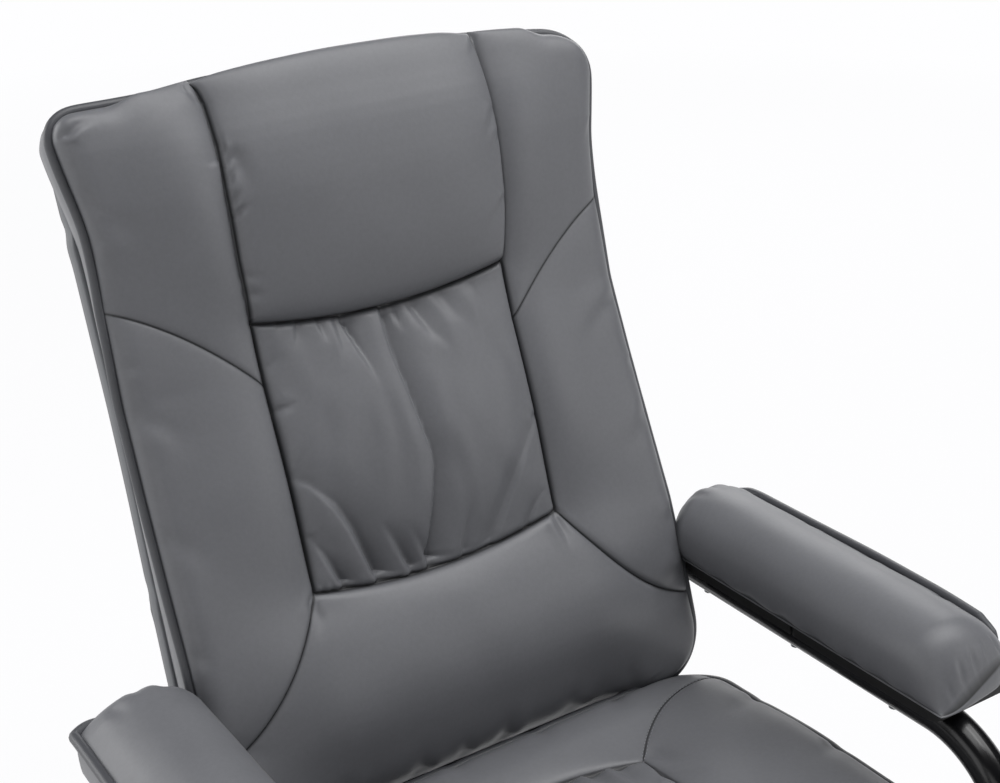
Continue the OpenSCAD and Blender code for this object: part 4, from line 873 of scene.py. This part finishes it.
# Short puckers at the front end, and folds at the rear end and along the outer welt
pad_folds = [
    (2, 1.6, -154, 264, -146, 265), (2.2, 1.8, -152, 278, -144, 280),
    (2.2, 1.8, -150, 293, -142, 296), (2.2, 1.6, -148, 309, -140, 309),
    (2.2, 1.8, -145, 325, -136, 322), (6, 1.4, 204, 276, 190, 280, 172, 284),
    (6, 1.3, 206, 300, 190, 300, 170, 300), (6, 1.3, 196, 324, 184, 320, 168, 316),
    (6, 1, -60, 350, -66, 338, -64, 322), (6, 1, 30, 351, 22, 338, 24, 322),
    (6, 1, 110, 351, 102, 338, 104, 322),
]
# Where the top panel is drawn in along its inner lower edge, and how wide each dip is
pad_dips = [(-118, 9), (-84, 10), (-52, 8), (-6, 12), (38, 10), (84, 12), (128, 10)]
across = smooth_curve(PAD_SECTION, 62)
A, J = np.meshgrid(spread(0, 1, 1 / 132, 0.55), np.arange(62) / 61, indexing="ij")
front_far, rear_far = A * (PAD_REAR - PAD_FRONT), (1 - A) * (PAD_REAR - PAD_FRONT)
# The section shrinks towards a plain line from edge to edge at both ends
line_x = PAD_INNER_FOOT[0] + J * (PAD_OUTER_TOP[0] - PAD_INNER_FOOT[0])
line_z = PAD_INNER_FOOT[1] + (PAD_OUTER_TOP[1] - PAD_INNER_FOOT[1]) * smooth(J) \
    - 8 * J ** 2 * (1 - smooth(front_far / 170))
swell = np.sqrt(1 - (1 - np.clip(front_far / 42, 0, 1)) ** 2.2) \
    * np.sqrt(1 - (1 - np.clip(rear_far / 36, 0, 1)) ** 2.2)
pad_x = line_x + (across[:, 0] - line_x) * swell - 7 * J ** 2 * (1 - smooth(front_far / 120))
pad_z = line_z + (across[:, 1] - line_z) * swell
# The front end is square with small corners and slants; the rear end is round
from_middle = np.abs(pad_x - PAD_MIDDLE[0]) / PAD_HALVES[0]
pad_y = PAD_FRONT + front_far + (12 * J - 4) * (1 - smooth(front_far / 70)) \
    + (9 + 22 * smooth(J * 2 - 1)) * from_middle ** 4 * (1 - smooth(front_far / 60)) \
    - 16 * from_middle ** 3.2 * (1 - smooth(rear_far / 60))
inner_edge = np.exp(-(J / 0.09) ** 2)
pad_press = folds(pad_y, pad_x, pad_folds) * smooth((J - 0.15) / 0.1)
for place, size in pad_dips:
    pad_press += (1.9 * np.exp(-((pad_y - place) / size) ** 2)
                  - 0.9 * np.exp(-((pad_y - place - size * 1.8) / size) ** 2)) * inner_edge

for side in (-1, 1):
    node = "arm_cushion_left" if (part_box("arm_cushion_left")[0][0] > 0) == (side > 0) \
        else "arm_cushion_right"
    top = np.stack([pad_x, pad_y, pad_z], -1)
    press = pad_press + 0.8 * ripple(top + side * 500, 55, 4) * swell
    press *= 1 - np.exp(-np.minimum(J, 1 - J) / 0.012)
    top = pressed(top, press, (0, 0, -1))
    rings = flat_rings(ring_of(top), PAD_MIDDLE, PAD_HALVES,
                       (0, PAD_GUSSET_FOOT), (2.0, 215.2), (9.0, 215.4))
    for part in [top] + rings:
        part[..., 0] *= side
    # Painted shade only along the border of the pad's top panel
    cushion(node, top, rings, 1.2, 7, RAKED, seam_shadow(np.full(J.shape, 9.0)), "seat")
    # The welt follows the outer side and the rear and ends at the front corner
    outer = np.concatenate([top[2:, -1], top[-1, -2:8:-1]])
    apart = np.linalg.norm(np.diff(outer, axis=0), axis=1) > 1.2
    outer = eased(outer[np.concatenate([[True], apart])], 3)
    push = unit((outer - (side * PAD_MIDDLE[0], PAD_MIDDLE[1], 0)) * (1, 1, 0))
    from_end = np.minimum(np.arange(len(outer)), np.arange(len(outer))[::-1])
    outer = outer + (push * 3.4 + (0, 0, 1.2)) * np.clip(from_end / 12, 0, 1)[:, None]
    taper = np.clip(0.25 + from_end / 14, 0, 1)
    made = tube(f"{node}_welt", outer, SEAT_CORD * taper, False, RAKED)
    finished(made, SHADED_WELT_LEATHER, "seat")

# ---------------------------------------------------------------------------------------------
# Footstool cushion: foam under the same leathercloth, with two cross seams, a welt round its
# top and a gusset, pulled over the plywood board and stapled under it.
STOOL_PLACE = (0, -0.760, 0)
STOOL = Matrix.Translation(STOOL_PLACE) @ Matrix.Scale(MM, 4)
STOOL_X, STOOL_Y, STOOL_WELT, STOOL_SEAM = 240.0, 190.0, 388.6, 120


def plain_panels(half, seam, low, high, step):
    """Three panels side by side with straight seams: the places across them, their grid and
    their two seams."""
    places = joined(panel_rows(-half, -seam), panel_rows(-seam, seam), panel_rows(seam, half))
    x, y = np.meshgrid(places, panel_rows(low, high, step), indexing="ij")
    return places, x, y, {at: [(at, low), (at, high)] for at in (-seam, seam)}


stool_x, X, V, stool_seams = plain_panels(STOOL_X, STOOL_SEAM, -STOOL_Y, STOOL_Y, 3.0)
edge_x, edge_v = STOOL_X - np.abs(X), STOOL_Y - np.abs(V)
roll, soft, crown, nearest = pillow(X, V, stool_seams)
X, V = round_corners(X, V, STOOL_X, -STOOL_Y, STOOL_Y, 48.0, 48.0)
full = dome(edge_x / 34) * dome(edge_v / 34)
wide = np.sqrt(np.clip(1 - (X / 252) ** 4, 0, 1)) * np.sqrt(np.clip(1 - (V / 200) ** 4, 0, 1))
Y = STOOL_WELT + full * (3.0 * roll + 4.5 * soft + 6.0 * crown - 1.0) + 8.0 * wide * full
stool_top = np.stack([X, V, Y], -1)
press = 0.9 * ripple(stool_top, 60, 6) * np.minimum(1, nearest / 20) * full
# Puckers on both sides of the two seams: place, width, depth and how far they lean
stool_puckers = [
    (-168, 5, 2.0, 18), (-140, 4.4, 1.5, 12), (-104, 5, 1.8, -14), (-60, 4.4, 1.4, 10),
    (-18, 5, 1.6, -8), (30, 4.6, 1.5, 12), (74, 5, 1.8, -10), (118, 4.4, 1.6, 12),
    (150, 5, 2.0, -12)]
press += folds(X, V, [
    (width, depth, x, y, x + way * 14, y + lean * 0.5, x + way * 30, y + lean)
    for x in stool_seams for y, width, depth, lean in stool_puckers for way in (-1, 1)])
# Folds at the border, each 8 mm wide and 2 mm deep
press += folds(X, V, [(8.0, 2.0, *line) for line in (
    (-236, 120, -214, 108, -190, 104), (-236, -60, -212, -66, -190, -60),
    (236, 90, 214, 80, 190, 80), (236, -110, 212, -104, 190, -96), (-60, 188, -56, 166, -62, 146),
    (40, 188, 46, 166, 42, 144), (-40, -188, -46, -166, -42, -146), (66, -188, 60, -166, 64, -146),
    (-206, 178, -194, 160, -180, 146), (206, 178, 194, 160, 180, 146),
    (-206, -178, -194, -160, -180, -146), (206, -178, 194, -160, 180, -146))])
stool_top = pressed(stool_top, press, (0, 0, -1))
stool_ring = ring_of(stool_top)
stool_rings = flat_rings(stool_ring, (0, 0), (STOOL_X, STOOL_Y), (7, 315), (12, 310),
                         (15.5, 299), (17, 296.4), (42, 296.4), (44, 300))
# Painted shade in the stool's seams and along its border
cushion("stool_cushion", stool_top, stool_rings, 3.0, 10, STOOL, seam_shadow(nearest), "stool")
welt("stool_welt", stool_ring, SEAT_CORD, 3.2, 0.6, (0, 0, 1), STOOL, "stool")

# ---------------------------------------------------------------------------------------------
# Rear cover of the backrest: a shallow leathercloth cover over a stiff shell, with two
# topstitched seams; it hides the motors and their wires.
REAR_HALF, REAR_LOW, REAR_HIGH, REAR_SEAM, REAR_DEPTH = 241.5, 18.5, 649.0, 126, 72.0
rear_x, X, V, rear_seams = plain_panels(REAR_HALF, REAR_SEAM, REAR_LOW, REAR_HIGH, 4.0)
edge_x, edge_v = REAR_HALF - np.abs(X), np.minimum(V - REAR_LOW, REAR_HIGH - V)
roll, soft, crown, nearest = pillow(X, V, rear_seams, {-REAR_SEAM: 0.5, REAR_SEAM: 0.5})
X, V = round_corners(X, V, REAR_HALF, REAR_LOW, REAR_HIGH, 50.0, 30.0)
X = X * (1 + 0.028 * smooth((420 - V) / 320))
full = dome(edge_x / 20) * dome(edge_v / 20)
Y = REAR_DEPTH + full * (8.4 + 1.6 * roll + 1.6 * soft + 1.0 * crown)
rear_top = np.stack([X, Y, V], -1)
press = 0.7 * ripple(rear_top, 80, 8) * full
# Faint folds at the border and the seams, each 9 mm wide and 1.4 mm deep
press += folds(X, V, [(9.0, 1.4, *line) for line in (
    (-240, 560, -214, 552, -186, 556), (240, 540, 216, 530, 188, 532),
    (-240, 240, -216, 232, -190, 236), (240, 300, 216, 292, 190, 296),
    (-126, 420, -106, 416, -84, 420), (126, 250, 106, 246, 84, 250),
    (-40, 640, -44, 616, -38, 590), (70, 640, 66, 616, 70, 590), (-60, 22, -56, 46, -62, 72),
    (50, 22, 56, 46, 52, 72))])
rear_top = pressed(rear_top, press, (0, -1, 0))
rear_base, rear_hem = [drawn_in(ring_of(rear_top), amount, REAR_HALF, 306, BOARD_REAR)
                       for amount in (0, 3.0)]
# Painted shade in the rear cover's seams and along its border
rear_cover = cover("rear_cover_skin", rear_top, rear_base, 1.2, 5, LEANED, seam_shadow(nearest),
                   [rear_hem])
REAR_LEATHER = leather("grey PU leathercloth, rear panel", "#626468", 0.46)
finished(rear_cover, REAR_LEATHER, "backrest")
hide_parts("rear_cover")

# ---------------------------------------------------------------------------------------------
# Finishes of the hard parts, each set on the CAD nodes that the record gives that finish.


def surface(name, tone, rough, metal=0.0, ior=1.5, wear=(), bumps=()):
    """A hard finish. Wear is its pattern's size in mm and how far it shifts colour and
    roughness; bumps are their size in mm, strength and height in mm."""
    made, tree = new_material(name)
    where = add(tree, "TexCoord").outputs["Object"]
    inputs = {"Base Color": linear(tone), "Roughness": rough, "Metallic": metal, "IOR": ior}
    if wear:
        size, shift, matt = wear
        patch = add(tree, "TexNoise", {"Vector": where, "Scale": 1000 / size, "Detail": 4.0})
        worn = {"Value": patch, "From Min": 0.3, "From Max": 0.7}
        tint = add(tree, "MapRange", worn | {"To Min": 1 - shift, "To Max": 1 + shift})
        inputs["Base Color"] = add(tree, "VectorMath", {0: linear(tone)[:3], "Scale": tint},
                                   operation="SCALE")
        inputs["Roughness"] = add(tree, "MapRange", worn | {"To Min": rough - matt,
                                                            "To Max": rough + matt})
    if bumps:
        size, strength, height = bumps
        grain = add(tree, "TexNoise", {"Vector": where, "Scale": 1000 / size, "Detail": 2.0})
        inputs["Normal"] = add(tree, "Bump", {"Height": grain, "Strength": strength,
                                              "Distance": height * MM})
    add(tree, "OutputMaterial", {"Surface": add(tree, "BsdfPrincipled", inputs)})
    return made


def plywood(name, tilt, tone=("#C8A878", "#A9855A", "#8B6A45")):
    """Birch plywood lying in a tilted frame: pale faces with long grain, and the glue lines of
    1.9 mm plies on its edges."""
    made, tree = new_material(name)
    level = (math.radians(tilt), 0, 0)
    where = add(tree, "TexCoord").outputs["Object"]
    turned = add(tree, "Mapping", {"Vector": where, "Rotation": level})
    grain = add(tree, "Mapping", {"Vector": turned, "Scale": (240, 12, 240)})
    fibre = add(tree, "TexNoise", {"Vector": grain, "Scale": 1.0, "Detail": 6.0,
                                   "Roughness": 0.6})
    face = add(tree, "Mix", {0: fibre, 6: linear(tone[0]), 7: linear(tone[1])},
               data_type="RGBA").outputs[2]
    ply = add(tree, "TexWave", {"Vector": turned, "Scale": 1000 / 3.8 / 20, "Distortion": 0.3},
              wave_type="BANDS", bands_direction="Z", wave_profile="SIN").outputs["Fac"]
    line = add(tree, "MapRange", {"Value": ply, "From Min": 0.55, "From Max": 0.8})
    # The plies show only where the face stands across the board
    side = add(tree, "NewGeometry").outputs["True Normal"]
    upright = add(tree, "Mapping", {"Vector": side, "Rotation": level})
    split = add(tree, "SeparateXYZ", {"Vector": upright}).outputs["Z"]
    flat = add(tree, "Math", {0: split}, operation="ABSOLUTE")
    edge = add(tree, "MapRange", {"Value": flat, "From Min": 0.5, "From Max": 0.8,
                                  "To Min": 1.0, "To Max": 0.0})
    both = add(tree, "Math", {0: line, 1: edge}, operation="MULTIPLY")
    colour = add(tree, "Mix", {0: both, 6: face, 7: linear(tone[2])},
                 data_type="RGBA").outputs[2]
    bump = add(tree, "Bump", {"Height": fibre, "Strength": 0.2, "Distance": 0.0002})
    skin = add(tree, "BsdfPrincipled", {"Base Color": colour, "Roughness": 0.62, "Normal": bump})
    add(tree, "OutputMaterial", {"Surface": skin})
    return made


finishes = {
    "black_steel": surface("black powder coat, gloss", "#0C0C0E", 0.24,
                           wear=(90, 0.06, 0.03), bumps=(2.4, 0.10, 0.05)),
    "floor_rubber": surface("black floor rubber", "#171718", 0.78,
                            wear=(40, 0.15, 0.06), bumps=(1.2, 0.4, 0.1)),
    "nylon": surface("natural nylon", "#DCDACF", 0.42, ior=1.53, wear=(30, 0.04, 0.05),
                     bumps=(1.5, 0.15, 0.05)),
    "bright_steel": surface("ground bright steel", "#B4B6B9", 0.30, 1.0,
                            wear=(18, 0.07, 0.07), bumps=(0.9, 0.12, 0.02)),
    "zinc_fasteners": surface("zinc-plated fasteners", "#A6A9AC", 0.36, 1.0,
                              wear=(7, 0.10, 0.08), bumps=(0.8, 0.10, 0.02)),
    "black_plastic": surface("black moulded plastic, spark texture", "#161617", 0.48,
                             wear=(35, 0.08, 0.04), bumps=(0.9, 0.35, 0.05)),
    "controller_grey": surface("dark grey moulded plastic, fine texture", "#34353A", 0.42,
                               wear=(25, 0.05, 0.04), bumps=(0.7, 0.25, 0.04)),
    "button_grey": surface("pale grey silicone buttons", "#A2A4A8", 0.55,
                           wear=(6, 0.05, 0.05), bumps=(0.6, 0.15, 0.03)),
    "circuit_board": surface("green circuit board", "#2E6B3C", 0.40,
                             wear=(9, 0.12, 0.06), bumps=(1.6, 0.2, 0.03)),
    "grey_leather_rear": REAR_LEATHER,
}
# The arm boards under the pads are drawn near black
boards = {"seat_board": plywood("plywood, seat board", 5.2),
          "stool_board": plywood("plywood, stool board", 0),
          "back_board": plywood("plywood, back board", 111.8),
          "arm_board_left": plywood("plywood, arm boards, near black", 5.2,
                                    ("#1E1C1B", "#141312", "#0C0B0B"))}
boards["arm_board_right"] = boards["arm_board_left"]
for part in frame["record"]["subparts"]:
    finish = boards.get(part["node"]) or finishes.get(part["material_slot"])
    if finish is not None:
        materials = frame["nodes"][part["node"]].data.materials
        materials.clear()
        materials.append(finish)

# ---------------------------------------------------------------------------------------------
# Threads and staples: stitches drawn tight along the topstitched seams, one row in a seam of
# the backrest and one on each side of the others, and steel staples that hold the turned hems
# of the seat and the footstool to their boards.


def repeated(name, unit_kind, unit_sockets):
    """A node tree that lays one small shape again and again along paths, turned to lie on the
    surface: a stitch is a flat bead, a staple's back a flat bar."""
    tree = bpy.data.node_groups.new(name, "GeometryNodeTree")
    for given, kind in (("Paths", "Geometry"), ("Pitch", "Float"), ("Size", "Vector"),
                        ("Seed", "Int"), ("Material", "Material")):
        tree.interface.new_socket(name=given, in_out="INPUT", socket_type=f"NodeSocket{kind}")
    tree.interface.new_socket(name="Geometry", in_out="OUTPUT",
                              socket_type="NodeSocketGeometry")
    given = add(tree, "NodeGroupInput").outputs
    line = add(tree, "GeometryNodeMeshToCurve", {"Mesh": given["Paths"]})
    line = add(tree, "GeometryNodeResampleCurve", {"Curve": line, "Length": given["Pitch"]},
               mode="LENGTH")
    away = add(tree, "GeometryNodeInputNamedAttribute", {"Name": "away"},
               data_type="FLOAT_VECTOR").outputs["Attribute"]
    turn = add(tree, "FunctionNodeAxesToRotation", {
        "Primary Axis": add(tree, "GeometryNodeInputTangent"), "Secondary Axis": away},
        primary_axis="X", secondary_axis="Z")
    unit = add(tree, unit_kind, unit_sockets).outputs["Mesh"]
    vary = add(tree, "FunctionNodeRandomValue", {2: 0.88, 3: 1.12, "Seed": given["Seed"]},
               data_type="FLOAT").outputs[1]
    size = add(tree, "VectorMath", {0: given["Size"], "Scale": vary}, operation="SCALE")
    laid = add(tree, "GeometryNodeInstanceOnPoints", {
        "Points": line, "Instance": unit, "Rotation": turn, "Scale": size})
    real = add(tree, "GeometryNodeRealizeInstances", {"Geometry": laid})
    done = add(tree, "GeometryNodeSetMaterial", {"Geometry": real,
                                                 "Material": given["Material"]})
    add(tree, "NodeGroupOutput", {"Geometry": done})
    return tree


def lay(name, tree, rows, matrix, pitch, size, material, body, seed):
    """Lays the shapes of a tree along rows of (path, way off the surface) in a body's frame."""
    verts, edges, away = [], [], []
    for path, off in rows:
        start = len(verts)
        verts.extend([tuple(p) for p in path])
        edges.extend([(start + i, start + i + 1) for i in range(len(path) - 1)])
        away.extend(np.broadcast_to(np.asarray(off, float), np.shape(path)).tolist())
    mesh = bpy.data.meshes.new(f"{name}_paths")
    mesh.from_pydata(verts, edges, [])
    mesh.transform(matrix)
    away = np.asarray(away) @ np.array(matrix.to_3x3().normalized()).T
    mesh.attributes.new("away", "FLOAT_VECTOR", "POINT").data.foreach_set("vector", away.ravel())
    carrier = put(f"{name}_carrier", mesh)
    modifier = carrier.modifiers.new("laid", "NODES")
    modifier.node_group = tree
    given = {"Pitch": pitch * MM, "Size": tuple(v * MM for v in size), "Seed": seed,
             "Material": material}
    for item in tree.interface.items_tree:
        if item.name in given:
            modifier[item.identifier] = given[item.name]
    carrier.update_tag()
    shown = carrier.evaluated_get(bpy.context.evaluated_depsgraph_get())
    made = put(name, bpy.data.meshes.new_from_object(shown))
    bpy.data.objects.remove(carrier)
    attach(made, body)


def on_grid(grid, way, rows, cols, lift=0.2):
    """A run of grid points as a path lifted a little off the cloth, and its directions."""
    off = -facing(grid, way)
    return grid[rows, cols] + lift * off[rows, cols], off[rows, cols]


DARK_THREAD = surface("charcoal polyester thread", "#232427", 0.62, bumps=(0.4, 0.3, 0.05))
GREY_THREAD = surface("grey polyester thread", "#86878B", 0.60, bumps=(0.4, 0.3, 0.05))
stitch = repeated("row of stitches", "GeometryNodeMeshUVSphere",
                  {"Segments": 6, "Rings": 4, "Radius": 0.5})
staple = repeated("row of staples", "GeometryNodeMeshCube", {"Size": (1.0, 1.0, 1.0)})
# Rows across the two side panels, short of the border at one end and of the seam at the other
back_runs = slice(4, BACK_LEFT), slice(BACK_RIGHT + 1, -4)
seat_runs = slice(4, SEAT_LEFT), slice(SEAT_RIGHT + 1, -4)
rows = [on_grid(back_top, (0, 1, 0), row, run)
        for row in (DIAGONAL_ROW, LUMBAR_ROW) for run in back_runs]
lay("back_stitches", stitch, rows, LEANED, 4.2, (3.0, 0.9, 0.7), DARK_THREAD, "backrest",
    11)
rows = [on_grid(seat_top, (0, 0, -1), CROSS_ROW + k, run) for k in (-2, 2) for run in seat_runs]
lay("seat_stitches", stitch, rows, RAKED, 4.4, (3.0, 0.8, 0.7), GREY_THREAD, "seat",
    12)
rows = [on_grid(stool_top, (0, 0, -1), row, slice(3, -3))
        for row in nearest_row(stool_x, -123.5, -116.5, 116.5, 123.5)]
lay("stool_stitches", stitch, rows, STOOL, 4.4, (3.0, 0.8, 0.7), GREY_THREAD, "stool",
    13)
rows = [on_grid(rear_top, (0, -1, 0), slice(3, -3), column)
        for column in nearest_row(rear_x, -130, -122, 122, 130)]
lay("rear_stitches", stitch, rows, LEANED, 4.6, (3.2, 0.9, 0.7), GREY_THREAD, "backrest",
    14)
STAPLE_STEEL = surface("galvanised staples", "#A8ABAE", 0.4, 1.0, bumps=(0.6, 0.1, 0.02))
for name, (hem,), matrix, body, seed in [
        ("seat_staples", flat_rings(seat_ring, SEAT_MIDDLE, SEAT_HALVES, (30, 11.6)), RAKED,
         "seat", 21),
        ("stool_staples", flat_rings(stool_ring, (0, 0), (STOOL_X, STOOL_Y), (30, 296.1)),
         STOOL, "stool", 22)]:
    path = resampled(hem, 6.0)
    lay(name, staple, [(np.concatenate([path, path[:1]]), (0, 0, -1))], matrix, 26.0,
        (11.0, 1.1, 0.7), STAPLE_STEEL, body, seed)
